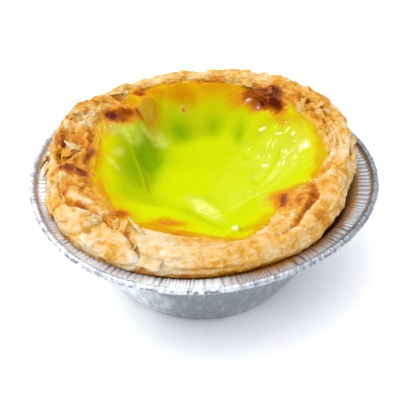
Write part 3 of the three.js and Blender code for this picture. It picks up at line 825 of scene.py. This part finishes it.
custard = {
    "around": 640,
    "rows": 128,
    "lapRows": 8,
    "lap": 1.2,                # how far its film runs under the crust's torn edge
    "gap": 0.35,               # below the edge, to the pastry's inner face
    "floorZ": 22.7,
    "slope": (0.42, 1.0),      # shares of the mouth where the dish starts to rise and ends
    "belowEdge": 0.15,         # how far it ends below the crust's edge
    "blister": {"x": -13.5, "y": 22.3, "spread": 2.6, "height": 1.8, "halfX": 2.7, "halfY": 3.4},
    "folds": [                 # raised lines of skin: points in plan, width and height
        ([(-19.6, -14.2), (-15.6, -14.9), (-11.2, -14.5), (-6.8, -14.7), (-2.4, -16.4), (1, -19.9),
          (5.3, -23.3)], 2.2, 0.38),
        ([(-16.6, 13), (-15.7, 9.3), (-14.4, 4.3), (-12.8, -0.6), (-12.4, -3.6)], 0.55, 0.34),
        ([(-3.4, -3.9), (-1.6, -6.6), (0.6, -8.4), (1.8, -11.4), (4.4, -14.2)], 1.1, 0.3),
        ([(11.5, -0.6), (15.6, 4), (19, 9.6)], 0.8, 0.4),
        ([(14.8, -3.4), (18.6, 1.6), (22, 7.5)], 0.7, 0.4),
        ([(8.6, 3.2), (12.6, 7.6), (15.6, 12.6)], 0.8, 0.3),
        ([(-9.4, 6.8), (-11.2, 2.2), (-11.4, -2.8)], 1.4, -0.35),
        ([(-6, -6.4), (-2, -11), (3.2, -16), (8, -19.6)], 0.3, -0.12),
    ],
    "bumps": [                 # small blisters: x, y, radius, height
        (7.5, -22.3, 1.4, 1.1), (6.6, -23.6, 0.6, 0.4), (-4.5, 24.6, 0.75, 0.12), (11, 25.2, 1.6, 0.9),
        (13.6, 23.9, 0.8, 0.5), (14, 19.6, 1.8, 0.6), (21.3, 13.1, 1.5, 0.55), (19, 12.3, 1.2, 0.4),
        (14.9, 13.7, 1.7, 0.5), (19.6, 9.5, 1.4, 0.4), (23.9, 8.6, 2, 0.6), (10, 18, 1.2, 0.4),
        (-22.4, 12, 0.7, 0.4), (-22, 9.6, 0.6, 0.35), (-21.4, 16.6, 0.9, 0.5), (-15.4, 23.8, 0.9, 0.5),
        (22.6, 15.4, 1, 0.4), (17.2, 16.8, 1.1, 0.4), (24.6, 3.4, 1.6, 0.4),
    ],
    "paintedShadeGreens": [                # painted shade: deeper, darker green where the dish's slopes fall in shade
        (-5, 21, 3.8, 3, 0, 1), (2.8, 22.6, 2.8, 2.4, 10, 0.8), (9, 19.8, 1.7, 2.6, 0, 0.7),
        (-11.8, 13.2, 4.4, 5, 0, 0.95), (-12.4, 8, 3.2, 5.5, 8, 0.75), (-15.8, -1.6, 3.8, 6, 0, 0.6),
        (-17.4, 4.6, 5, 8, 0, 0.42), (-16.6, -10.4, 4.6, 3.6, 0, 0.5), (0.4, -3.4, 3.4, 1.4, 0, 0.2),
        (0, 12, 12, 5, 0, 0.1),
    ],
    "paintedShadeOlives": [                # painted shade: darker olive-yellow on the back slope, at the sides, under the back right burn and along the lower left edge
        (22.4, 11.2, 3.4, 5.6, -30, 0.5), (0, 27, 13, 4, 0, 0.9), (-13.2, 22, 3.6, 5, 0, 0.85),
        (-21.5, 4, 3, 9, 0, 0.8), (-20.5, 12.4, 3, 4.4, 0, 0.6), (20.4, -9.6, 3.6, 2.4, 20, 0.4),
        (-22, -8, 2.6, 8, 10, 0.8), (-18.2, -14.8, 3.2, 4.6, 0, 1), (15.5, 20, 3.6, 1.8, -20, 0.9),
        (11.6, -20.4, 3.4, 2, 25, 0.6),
    ],
    "paintedSheens": [                 # painted sheen: pale patches and streaks where the skin would catch the light
        (-16.6, 13.4, 2.6, 2, 20, 0.55), (-12.4, 16.4, 2.2, 1.4, 0, 0.5), (-18.8, 4.6, 1.2, 2.4, -20, 0.35),
        (-16, 17.2, 1.6, 1.2, 0, 0.35), (0.8, -7.4, 5.6, 2, -51, 0.8), (20.6, 4.6, 2.4, 5.6, -20, 0.2),
        (-20.2, -0.3, 2.6, 0.7, -50, 0.45), (23.9, 8.6, 1.5, 1.8, 0, 0.8), (-9.9, 17.6, 2.2, 1.6, 0, 0.45),
        (-16, 19.4, 0.8, 1.8, 0, 0.6), (19.5, 6.5, 0.8, 4, -35, 0.5), (16.5, 3.5, 0.8, 4.5, -40, 0.4),
        (12, -4, 1.2, 5, -50, 0.35),
    ],
    "films": [                 # orange baked film
        (-5, 28.2, 6, 3, 4, 0.95), (-11, 27, 3.6, 2.4, 20, 0.85), (5.2, 30.2, 4.6, 1.5, -10, 0.7),
        (-7, -20.4, 4.2, 1.8, -4, 0.85), (-16, -18.6, 4.2, 2.2, -30, 0.45), (-24, 0.4, 1.6, 9, 0, 0.75),
        (11.6, 26.4, 5.4, 3.2, -20, 0.95), (1.5, 29.6, 5.4, 2.4, -6, 0.75), (-13, 22.2, 3.4, 4, 0, 0.85),
        (-16.2, 21.2, 2.8, 2.8, 0, 0.85), (19.8, 18, 3.6, 2.2, -45, 0.6), (-18.4, 18.6, 4.6, 2.6, 10, 0.9),
        (27, 2, 1.2, 8.6, 0, 0.5), (17.6, -11.4, 3.2, 3.2, -20, 0.8), (-22.6, 11.4, 1.6, 3.4, 0, 0.5),
        (18.8, 18.4, 2.6, 1.5, -40, 0.75), (22.3, 17.1, 2.2, 2.2, 0, 0.5), (10.8, -21.8, 2.4, 1.6, 20, 0.55),
        (14, -18.4, 1.4, 2.6, -30, 0.55),
    ],
    # browned patches; the narrow one along the lower left edge paints the shade under the crust's overhang
    "burns": [
        (17.2, 23.4, 4.8, 2.3, -65, 1), (12.7, 26.2, 3.1, 3, -20, 0.75), (15, 24.2, 3, 2.2, -30, 0.9),
        (-21.6, 16.3, 2.6, 2.2, 12, 0.92), (-18, 18.2, 3.4, 2.3, 10, 0.8), (-15.6, 19, 1.8, 2.4, 0, 0.5),
        (-7, -20.4, 2.4, 1.1, 0, 0.4), (18.1, -12.6, 2.4, 3.4, -25, 0.6), (-14.9, 25.2, 2.2, 1.6, 30, 0.7),
        (-22, -10.5, 1, 4.5, 12, 0.35), (-17.8, -18.6, 2.2, 2.4, 0, 0.6), (-4.5, 24.6, 0.55, 0.5, 0, 0.55),
        (-20, 17.1, 4.6, 2.3, 12, 0.75), (15.6, 25.8, 3.2, 1.8, -35, 0.9), (14.6, 25, 4, 1.9, -18, 0.9),
        (15.4, 23, 2, 1.5, -20, 0.8), (-0.5, 30.4, 2, 1.2, 0, 0.4),
    ],
    "glintSlope": (0.44, 0.34),    # the tilt that catches the key light
    "slack": [(16, 4, 13, 16, 0, 1)],    # where the skin is loosest
    "wrinkles": [              # other places; heading, length, width and seed of the wrinkles; height
        ((-15, 2, 8, 16, 0, 1), (100, 7, 2, 151), 0.1), ((4, -16, 12, 8, 0, 1), (-48, 6, 1.8, 161), 0.12),
    ],
    "glints": [                # small flats with that tilt: x, y, half sizes and turn
        (14.3, 18.2, 1, 0.55, 10), (18.2, 15.6, 1, 0.4, -10), (20.2, 15.2, 1.2, 0.35, 35),
        (21.4, 13.2, 0.9, 0.35, 60), (18.9, 9.8, 0.55, 0.5, 0), (15.2, 8.6, 0.9, 0.5, -30),
        (23.1, 8.4, 0.3, 1.3, -10), (24.2, 8.6, 0.4, 1.5, -5), (25.1, 7.6, 0.25, 1, 0),
        (19.1, 6.4, 0.7, 0.4, 20), (13.4, 23.2, 0.55, 0.5, 0), (11.2, 24.8, 0.9, 0.45, 0),
        (7.5, -22.2, 0.9, 0.9, 0), (-23.2, 14, 0.4, 0.4, 0), (-21.4, 12.6, 0.5, 0.4, 0),
    ],
    "wets": [                  # shining skin
        (17, 9, 9, 8, -20, 0.42), (0.8, -7.4, 6, 2.6, -51, 0.6), (-21, 13, 2.4, 4, 0, 0.9),
        (-13.2, 20.6, 2.6, 3.4, 0, 0.3), (-4.5, 24.6, 1.2, 1, 0, 0.4), (12, -4, 8, 9, 0, 0.35),
    ],
}


def dishHeight(angle, share):
    # the back falls steeply, the sides gently, and the front left has a raised shoulder
    start, end = custard["slope"]
    back = np.maximum(0, cosDegrees(angle - 85)) ** 1.5
    begin = start + 0.2 * back - 0.12 * bell(angle, 215, 40) - 0.14 * bell(angle, 255, 24)
    finish = end - 0.2 * bell(angle, 248, 20) - 0.12 * bell(angle, 180, 28)
    rise = smoothstep(begin, finish, share)
    return mix(custard["floorZ"], rimLine("edgeZ", angle) - custard["belowEdge"], rise)


def wrinkled(place, heading, long, narrow, seed, blunt=0.2):
    # ridges where noise drawn out along a heading crosses 0
    along, across = rotated(place[..., 0], place[..., 1], heading)
    drawn = noise(np.stack([along / long, across / narrow, 0 * across], -1), 1.0, seed, 2)
    return 1 - 2 * np.hypot(drawn, blunt)


def custardShape():
    # rings from the bottom up the pastry's inner face, over the lapping edge and into the middle
    angle = stepsRound(custard["around"])
    share = np.linspace(0.012, 1, custard["rows"])[:, None]
    lap = np.linspace(0, 1, custard["lapRows"] + 1)[1:, None]
    mouth, edge = rimLine("mouthRadius", angle), rimLine("edgeZ", angle)
    radius = np.concatenate([share * mouth, mouth + custard["lap"] * lap])
    z = np.concatenate([dishHeight(angle, share), edge - custard["belowEdge"] + 0.25 * lap])
    place = shellPoints(angle, radius, z)
    plan = tall(place, 0)
    reach = radius / mouth
    free = fade(0.9, 1.0, reach)

    blister = custard["blister"]
    dx, dy = plan[..., 0] - blister["x"], plan[..., 1] - blister["y"]
    dome = blister["height"] * np.exp(-(dx**2 + dy**2) / (2 * blister["spread"] ** 2)) * fade(0.85, 1, reach)
    swell = np.hypot(dx / blister["halfX"], dy / blister["halfY"])
    dome = dome + 0.4 * fade(0.55, 1.04, swell) * free
    ring = ridge(swell - 1.0 + 0.12 * noise(plan, 2.2, 147, 2), 0.2) * free
    halo = ring * smoothstep(-0.6, 0.3, dx / blister["halfX"] - 0.6 * dy / blister["halfY"])
    groove = ridge(swell - 1.06, 0.11) * smoothstep(0.2, 0.9, -dy / blister["halfY"])

    height = dome - 0.22 * groove
    for path, width, lift in custard["folds"]:
        away = pathDistance(plan, [(x, y, 0) for x, y in path])
        height = height + lift * ridge(away, width)
    bumps = 0
    for x, y, size, lift in custard["bumps"]:
        bumps = bumps + lift * np.exp(-(((plan[..., 0] - x) ** 2 + (plan[..., 1] - y) ** 2) / size**2))
    slack = spotMask(plan, custard["slack"], 0)
    wrinkle = wrinkled(plan, 54, 7.0, 2.0, 131)
    tight = wrinkled(plan, 40, 4.0, 1.2, 141, 0.25)
    height = height + slack * (0.1 * wrinkle + 0.05 * tight + 0.3 * noise(plan, 2.7, 145, 2))
    for area, grain, lift in custard["wrinkles"]:
        height = height + lift * spotMask(plan, [area], 0) * wrinkled(plan, *grain)
    height = height + 0.16 * noise(plan, 5.5, 171, 2) + 0.035 * noise(plan, 1.2, 181, 2)
    wander = 0.55 * noise(plan, 3.4, 193, 2) + 0.35 * noise(plan, 1.3, 191, 2)
    wander = wander * (1 - 0.6 * sector(angle, 236, 300, 10))
    height = height * free + bumps * fade(1.0, 1.05, reach)
    place[..., 2] += height + (0.6 * wander + 0.34) * smoothstep(0.88, 1, reach)

    shine = 0 * z + 0 * angle
    level = place[..., 2].copy()
    for x, y, halfX, halfY, turned in custard["glints"]:
        dx, dy = plan[..., 0] - x, plan[..., 1] - y
        along, across = rotated(dx, dy, turned)
        flat = fade(0.7, 1.5, np.hypot(along / halfX, across / halfY))
        tiltX, tiltY = custard["glintSlope"]
        tilted = level.flat[np.argmin(dx**2 + dy**2)] + tiltX * dx + tiltY * dy
        place[..., 2] = mix(place[..., 2], tilted, flat)
        shine = np.maximum(shine, flat)

    gap = custard["gap"]
    under = [shellRing(angle, crust["floor"][0] - gap, crust["floor"][1] + gap),
             *(wallRing(angle, height, crust["thickness"] + gap) for height in crust["innerZ"]),
             shellRing(angle, mouth - gap, edge - crust["innerDrop"]),
             shellRing(angle, mouth + custard["lap"], edge - 0.5)]
    rings = np.concatenate([*under, place[::-1]])

    ragged = 0.32 * noise(plan, 2.6, 201, 3)
    narrow = 0.1 * (1 - sector(angle, 60, 275, 20))
    edgeGold = smoothstep(0.82 + narrow, 1.0, reach + 0.1 * noise(plan, 3.5, 231, 2))
    edgeGold = edgeGold * (0.6 + 0.3 * sector(angle, 60, 250, 20)) * (1 - 0.8 * bell(angle, 200, 26))
    edgeFilm = smoothstep(0.93 + 0.3 * narrow, 1.0, reach + 0.05 * noise(plan, 3, 211, 2))
    edgeFilm = edgeFilm * (0.75 + 0.35 * noise(plan, 5, 221))
    edgeFilm = edgeFilm * (0.7 + 0.3 * sector(angle, 60, 270, 20)) * (1 - 0.5 * bell(angle, 182, 22))
    burnt = spotMask(plan, custard["burns"], 1.5 * ragged)
    frontLine = ridge(reach - 0.985, 0.02) * sector(angle, 250, 292, 5)
    values = {
        # the deeper green and olive masks are painted shade, the pale one a painted sheen, here also on the
        # crests of the loose skin's wrinkles
        "paintedShadeGreen": spotMask(plan, custard["paintedShadeGreens"], 0.6 * ragged, True),
        "paintedShadeOlive": spotMask(plan, custard["paintedShadeOlives"], ragged, True),
        "paintedSheen": spotMask(plan, custard["paintedSheens"], 1.4 * ragged) + 0.35 * slack * unit(wrinkle - 0.35),
        "gold": unit(edgeGold),
        "wet": np.maximum(shine, spotMask(plan, custard["wets"], ragged) * (1 - 0.8 * burnt)),
        "film": unit(np.maximum.reduce([
            spotMask(plan, custard["films"], 1.3 * ragged), edgeFilm, 0.6 * halo])),
        "burn": unit(burnt + 0.3 * groove + 0.3 * frontLine),
        "cooked": unit(smoothstep(0.6, 1.0, reach)) + 0 * z,
    }
    values = {label: value[::-1] for label, value in values.items()}
    return rings, carried(values, len(under), 0)


def custardMesh(rings, values):
    bottom = (0.0, 0.0, crust["floor"][1] + custard["gap"])
    made = ringMesh("custard_fill", rings, bottom, rings[-1].mean(0), values)
    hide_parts("custard")
    return made


# Finishes. Masks come from the meshes as attributes, and patterns read Object coordinates.

def fill(tree, sockets, values):
    # a value that is a socket is linked, any other is set
    for name, value in values.items():
        if isinstance(value, bpy.types.NodeSocket):
            tree.links.new(value, sockets[name])
        else:
            sockets[name].default_value = value


def added(tree, kind, inputs, **settings):
    # the outputs of a new node with its settings and inputs
    made = tree.nodes.new(kind)
    for name, value in settings.items():
        setattr(made, name, value)
    fill(tree, made.inputs, inputs)
    return made.outputs


def mixed(tree, first, second, factor):
    # colour mix: sockets 6 and 7 of a Mix node are its colours, and output 2 the result
    return added(tree, "ShaderNodeMix", {0: factor, 6: first, 7: second}, data_type="RGBA")[2]


def times(tree, first, second):
    return added(tree, "ShaderNodeMath", {0: first, 1: second}, operation="MULTIPLY")[0]


def plus(tree, first, second, share):
    # first + second times share
    return added(tree, "ShaderNodeMath", {0: second, 1: share, 2: first}, operation="MULTIPLY_ADD")[0]


def eased(tree, value, low, high, start=0.0, end=1.0):
    # smooth step of a value from low to high, put out from start to end
    return added(tree, "ShaderNodeMapRange", {0: value, 1: low, 2: high, 3: start, 4: end},
                 interpolation_type="SMOOTHSTEP")[0]


def masked(tree, label):
    return added(tree, "ShaderNodeAttribute", {}, attribute_name=label)["Fac"]


def speckle(tree, scale, detail=4.0, distortion=0.0):
    # noise texture in Object coordinates, 0 to 1, with scale in features per metre
    place = added(tree, "ShaderNodeTexCoord", {})["Object"]
    return added(tree, "ShaderNodeTexNoise", {
        "Vector": place, "Scale": scale, "Detail": detail, "Distortion": distortion})["Fac"]


def opaque(tint):
    return (*tint, 1.0)


def socketKind(value):
    return "NodeSocketFloat" if isinstance(value, float) else "NodeSocketColor"


def newGroup(name, inputs):
    # a shader group with its inputs and their starting values
    group = bpy.data.node_groups.new(name, "ShaderNodeTree")
    for label, value in inputs.items():
        socket = group.interface.new_socket(label, in_out="INPUT", socket_type=socketKind(value))
        socket.default_value = value
    return group, group.nodes.new("NodeGroupInput").outputs


def putOut(group, label, kind, value):
    group.interface.new_socket(label, in_out="OUTPUT", socket_type=kind)
    group.links.new(value, group.nodes.new("NodeGroupOutput").inputs[label])
    return group


def browningGroup():
    # baked browning over any colour: amber, then brown, then nearly black, with a ragged edge
    group, given = newGroup("browning", {
        "Colour": (1, 1, 1, 1), "Amount": 0.0, "Amber": (0.50, 0.16, 0.008, 1),
        "Brown": (0.195, 0.044, 0.010, 1), "Dark": (0.062, 0.007, 0.002, 1)})
    ragged = plus(group, -0.25, speckle(group, 900.0, 5.0), 0.5)
    amount = plus(group, given["Amount"], ragged, eased(group, given["Amount"], 0.0, 0.3))
    colour = given["Colour"]
    stages = (("Amber", 0.04, 0.4, 0.85), ("Brown", 0.3, 0.72, 1.0), ("Dark", 0.66, 1.0, 1.0))
    for label, low, high, end in stages:
        colour = mixed(group, colour, given[label], eased(group, amount, low, high, 0.0, end))
    return putOut(group, "Colour", "NodeSocketColor", colour)


def grainGroup():
    # fine uneven height: broad grain, and a finer one on top
    group, given = newGroup("fineGrain", {"Scale": 900.0, "Fine share": 0.4})
    broad = speckle(group, given["Scale"], 3.0)
    fine = speckle(group, times(group, given["Scale"], 3.1), 2.0)
    return putOut(group, "Height", "NodeSocketFloat", plus(group, broad, fine, given["Fine share"]))


def browned(tree, group, colour, tints):
    # the colour with the browning over it, as far as the mesh's burn mask says
    return added(tree, "ShaderNodeGroup", {"Colour": colour, "Amount": masked(tree, "burn"), **tints},
                 node_tree=group)["Colour"]


def grained(tree, group, scale, distance, strength):
    # normals bent by the grain
    height = added(tree, "ShaderNodeGroup", {"Scale": scale}, node_tree=group)["Height"]
    return added(tree, "ShaderNodeBump", {"Height": height, "Distance": distance, "Strength": strength})[0]


def newMaterial(name):
    material = bpy.data.materials.new(name)
    material.use_nodes = True
    return material, material.node_tree


def finished(material, sockets):
    # the material, with the sockets of its Principled shader linked or set
    fill(material.node_tree, material.node_tree.nodes["Principled BSDF"].inputs, sockets)
    return material


goldenEdge = (0.47, 0.31, 0.002)

crustLook = {
    "ramp": [                  # how baked it is, and its colour there
        (0.04, (0.620, 0.550, 0.450)), (0.20, (0.560, 0.430, 0.265)), (0.36, (0.540, 0.360, 0.150)),
        (0.52, (0.504, 0.269, 0.040)), (0.68, (0.454, 0.172, 0.010)), (0.86, (0.344, 0.088, 0.003)),
        (1.00, (0.218, 0.040, 0.003)),
    ],
    "start": -0.565,           # then what adds to it: masks from the mesh, and mottling
    "masks": [("tone", 0.36), ("toasted", 0.20), ("paleAndPaintedLight", -0.24), ("raised", -0.20), ("paintedRecessShade", 0.32),
              ("glaze", 0.30), ("paintedCrackShade", 0.08)],
    "mottle": [(230.0, 6.0, 0.6), (620.0, 5.0, 0.55), (1600.0, 3.0, 0.4)],   # scale, detail, share
    "bump": 0.00022,
}
custardLook = {
    "lime": (0.405, 0.465, 0.001),
    "layers": [                # mask and colour, then the pattern that varies it, low, high, start, end
        ("cooked", (0.44, 0.44, 0.001), "broad", 0.35, 0.65, 0.2, 0.8),
        # painted shade in the deeper green and olive layers, painted sheen in the pale one
        ("paintedShadeGreen", (0.15, 0.255, 0.001), "broad", 0.3, 0.6, 0.8, 1.0),
        ("paintedShadeOlive", (0.38, 0.35, 0.001), "broad", 0.3, 0.6, 0.7, 1.0),
        ("paintedSheen", (0.58, 0.60, 0.14), "fine", 0.35, 0.6, 0.3, 1.0),
        ("gold", goldenEdge, "fine", 0.3, 0.6, 1.0, 1.0),
        ("film", (0.41, 0.15, 0.001), "fine", 0.3, 0.62, 0.7, 1.0),
    ],
    "brown": (0.24, 0.055, 0.004),
    "bump": 0.00008,
}
foilLook = {
    "bright": (0.905, 0.955, 1.0), "worn": (0.8145, 0.8595, 0.9), "bump": 0.00004,
    # the layers, in order: painted shade on the wall and flange, painted shade and dark reflections in the
    # creases and on the bead, and browned oil together with painted shade and crust reflection under the
    # crust's edge
    "layers": {"paintedShade": (0.25, 0.28, 0.30), "paintedCreaseShade": (0.10, 0.10, 0.15), "oilAndPaintedShade": (0.42, 0.19, 0.03)},
}


def crustFinish(browning, grain):
    material, tree = newMaterial("baked_flaky_pastry")
    baked = crustLook["start"]
    for label, share in crustLook["masks"]:
        baked = plus(tree, baked, masked(tree, label), share)
    for scale, detail, share in crustLook["mottle"]:
        baked = plus(tree, baked, speckle(tree, scale, detail, 0.4), share)
    colour = added(tree, "ShaderNodeValToRGB", {"Fac": baked})["Color"]
    stops = colour.node.color_ramp.elements
    while len(stops) < len(crustLook["ramp"]):
        stops.new(0.5)
    for stop, (place, tint) in zip(stops, crustLook["ramp"]):
        stop.position, stop.color = place, opaque(tint)
    colour = mixed(tree, colour, opaque(goldenEdge), masked(tree, "stain"))
    return finished(material, {
        "Base Color": browned(tree, browning, colour, {}),
        "Roughness": plus(tree, 0.56, masked(tree, "glaze"), -0.24),
        "Normal": grained(tree, grain, 1300.0, crustLook["bump"], 0.8),
        "Subsurface Weight": 0.10, "Subsurface Scale": 0.0012, "Subsurface Radius": (1.0, 0.45, 0.15),
        "Specular IOR Level": 0.1,
    })


def custardFinish(browning, grain):
    material, tree = newMaterial("set_custard")
    patterns = {"broad": speckle(tree, 150.0, 4.0, 0.3), "fine": speckle(tree, 520.0, 4.0, 0.5)}
    colour = opaque(custardLook["lime"])
    for label, tint, pattern, *span in custardLook["layers"]:
        share = times(tree, masked(tree, label), eased(tree, patterns[pattern], *span))
        colour = mixed(tree, colour, opaque(tint), share)
    return finished(material, {
        "Base Color": browned(tree, browning, colour, {"Brown": opaque(custardLook["brown"])}),
        "Roughness": eased(tree, patterns["fine"], 0.35, 0.7, 0.12, 0.2),
        "Normal": grained(tree, grain, 700.0, custardLook["bump"], 0.5),
        "Coat Weight": masked(tree, "wet"), "Coat Roughness": 0.05, "Specular IOR Level": 0.0,
        "Subsurface Weight": 0.16, "Subsurface Scale": 0.0022, "Subsurface Radius": (1.0, 0.9, 0.1),
    })


def foilFinish(grain):
    material, tree = newMaterial("pressed_foil")
    worn, paintedShade, oilAndPaintedShade = speckle(tree, 400.0), masked(tree, "paintedShade"), masked(tree, "oilAndPaintedShade")
    wear = eased(tree, worn, 0.35, 0.65)
    colour = mixed(tree, opaque(foilLook["bright"]), opaque(foilLook["worn"]), wear)
    for label, tint in foilLook["layers"].items():
        colour = mixed(tree, colour, opaque(tint), masked(tree, label))
    return finished(material, {
        "Base Color": colour,
        "Metallic": plus(tree, plus(tree, 0.05, paintedShade, 0.9), oilAndPaintedShade, -0.4),
        "Roughness": plus(tree, eased(tree, worn, 0.3, 0.7, 0.26, 0.38), oilAndPaintedShade, 0.12),
        "Normal": grained(tree, grain, 1500.0, foilLook["bump"], 0.5),
    })


# Studio: pale floor, a large soft key from the upper left, a soft fill from the front.

studio = {
    "aim": (-0.19, 0.0, 19.69),      # millimetres
    "distance": 360.0,
    "elevation": 37.67,
    "roll": -0.74,
    "lens": 139.77,                  # millimetres on a 36 mm sensor
    "sky": (0.96, 0.98, 1.0),
    "skyStrength": 1.12,
    "floor": (0.95, 0.95, 0.95),
    "lights": [                      # name, direction to it, distance and size in metres, watts, colour
        ("keyLight", (-0.6, 0.34, 0.75), 0.9, 0.22, 2.7, (1.0, 0.99, 0.97)),
        ("topLight", (-0.15, -0.2, 0.95), 0.9, 1.3, 4.9, (1.0, 1.0, 1.0)),
        ("frontFill", (-0.35, -0.6, 0.95), 1.1, 0.9, 3.4, (1.0, 1.0, 1.0)),
    ],
}


def makeFloor():
    # a plain square sheet under the cup
    half = 2500.0
    points = np.array([(-half, -half, 0), (half, -half, 0), (half, half, 0), (-half, half, 0)])
    made = meshFrom("floor", points, [np.array([[0, 1, 2, 3]])], {})
    material, tree = newMaterial("pale_floor")
    tint = np.array(studio["floor"])
    cloudy = eased(tree, speckle(tree, 260.0, 3.0), 0.4, 0.6)
    colour = mixed(tree, opaque(tint), opaque(0.985 * tint), cloudy)
    made.data.materials.append(finished(material, {
        "Base Color": colour, "Roughness": 0.9, "Specular IOR Level": 0.1}))


def placed(name, data):
    made = bpy.data.objects.new(name, data)
    bpy.context.scene.collection.objects.link(made)
    return made


def makeLights():
    for name, direction, distance, size, watts, tint in studio["lights"]:
        lamp = bpy.data.lights.new(name, "AREA")
        lamp.shape, lamp.size, lamp.energy, lamp.color = "SQUARE", size, watts, tint
        towards = Vector(direction).normalized()
        lit = placed(name, lamp)
        lit.location = Vector(studio["aim"]) * millimetre + towards * distance
        lit.rotation_mode = "QUATERNION"
        lit.rotation_quaternion = towards.to_track_quat("Z", "Y")
    world = bpy.data.worlds.new("sky")
    world.use_nodes = True
    fill(world.node_tree, world.node_tree.nodes["Background"].inputs, {
        "Color": opaque(studio["sky"]), "Strength": studio["skyStrength"]})
    bpy.context.scene.world = world


def makeCamera():
    # looks along +Y and down at the tart, turned a little about its own axis
    rise, roll = math.radians(studio["elevation"]), math.radians(studio["roll"])
    back = Vector((0, -math.cos(rise), math.sin(rise)))
    up, right = Vector((0, math.sin(rise), math.cos(rise))), Vector((1, 0, 0))
    across = math.cos(roll) * right - math.sin(roll) * up
    upward = math.sin(roll) * right + math.cos(roll) * up
    lens = bpy.data.cameras.new("camera")
    lens.lens, lens.sensor_width, lens.clip_start, lens.clip_end = studio["lens"], 36.0, 0.01, 20.0
    camera = placed("camera", lens)
    place = (Vector(studio["aim"]) + back * studio["distance"]) * millimetre
    camera.matrix_world = Matrix.Translation(place) @ Matrix((across, upward, back)).transposed().to_4x4()
    bpy.context.scene.camera = camera


makeCamera()
makeFloor()
makeLights()
bpy.context.scene.view_settings.view_transform = "Standard"
print("studio made")

browning, grain = browningGroup(), grainGroup()
foil = foilMesh()
foil.data.materials.append(foilFinish(grain))
print("foil cup made")

crustRings, crustValues, rimRings = crustShape()
shell = crustMesh(crustRings, crustValues)
pastry = crustFinish(browning, grain)
shell.data.materials.append(pastry)
print("pastry crust made")

scraps = flakeMesh(rimRings, crustValues, 4)
scraps.data.materials.append(pastry)
print("crust flakes made")

filling = custardMesh(*custardShape())
filling.data.materials.append(custardFinish(browning, grain))
print("custard made")

for piece, name in ((foil, "foil"), (shell, "crust"), (scraps, "crust"), (filling, "custard")):
    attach(piece, "root")
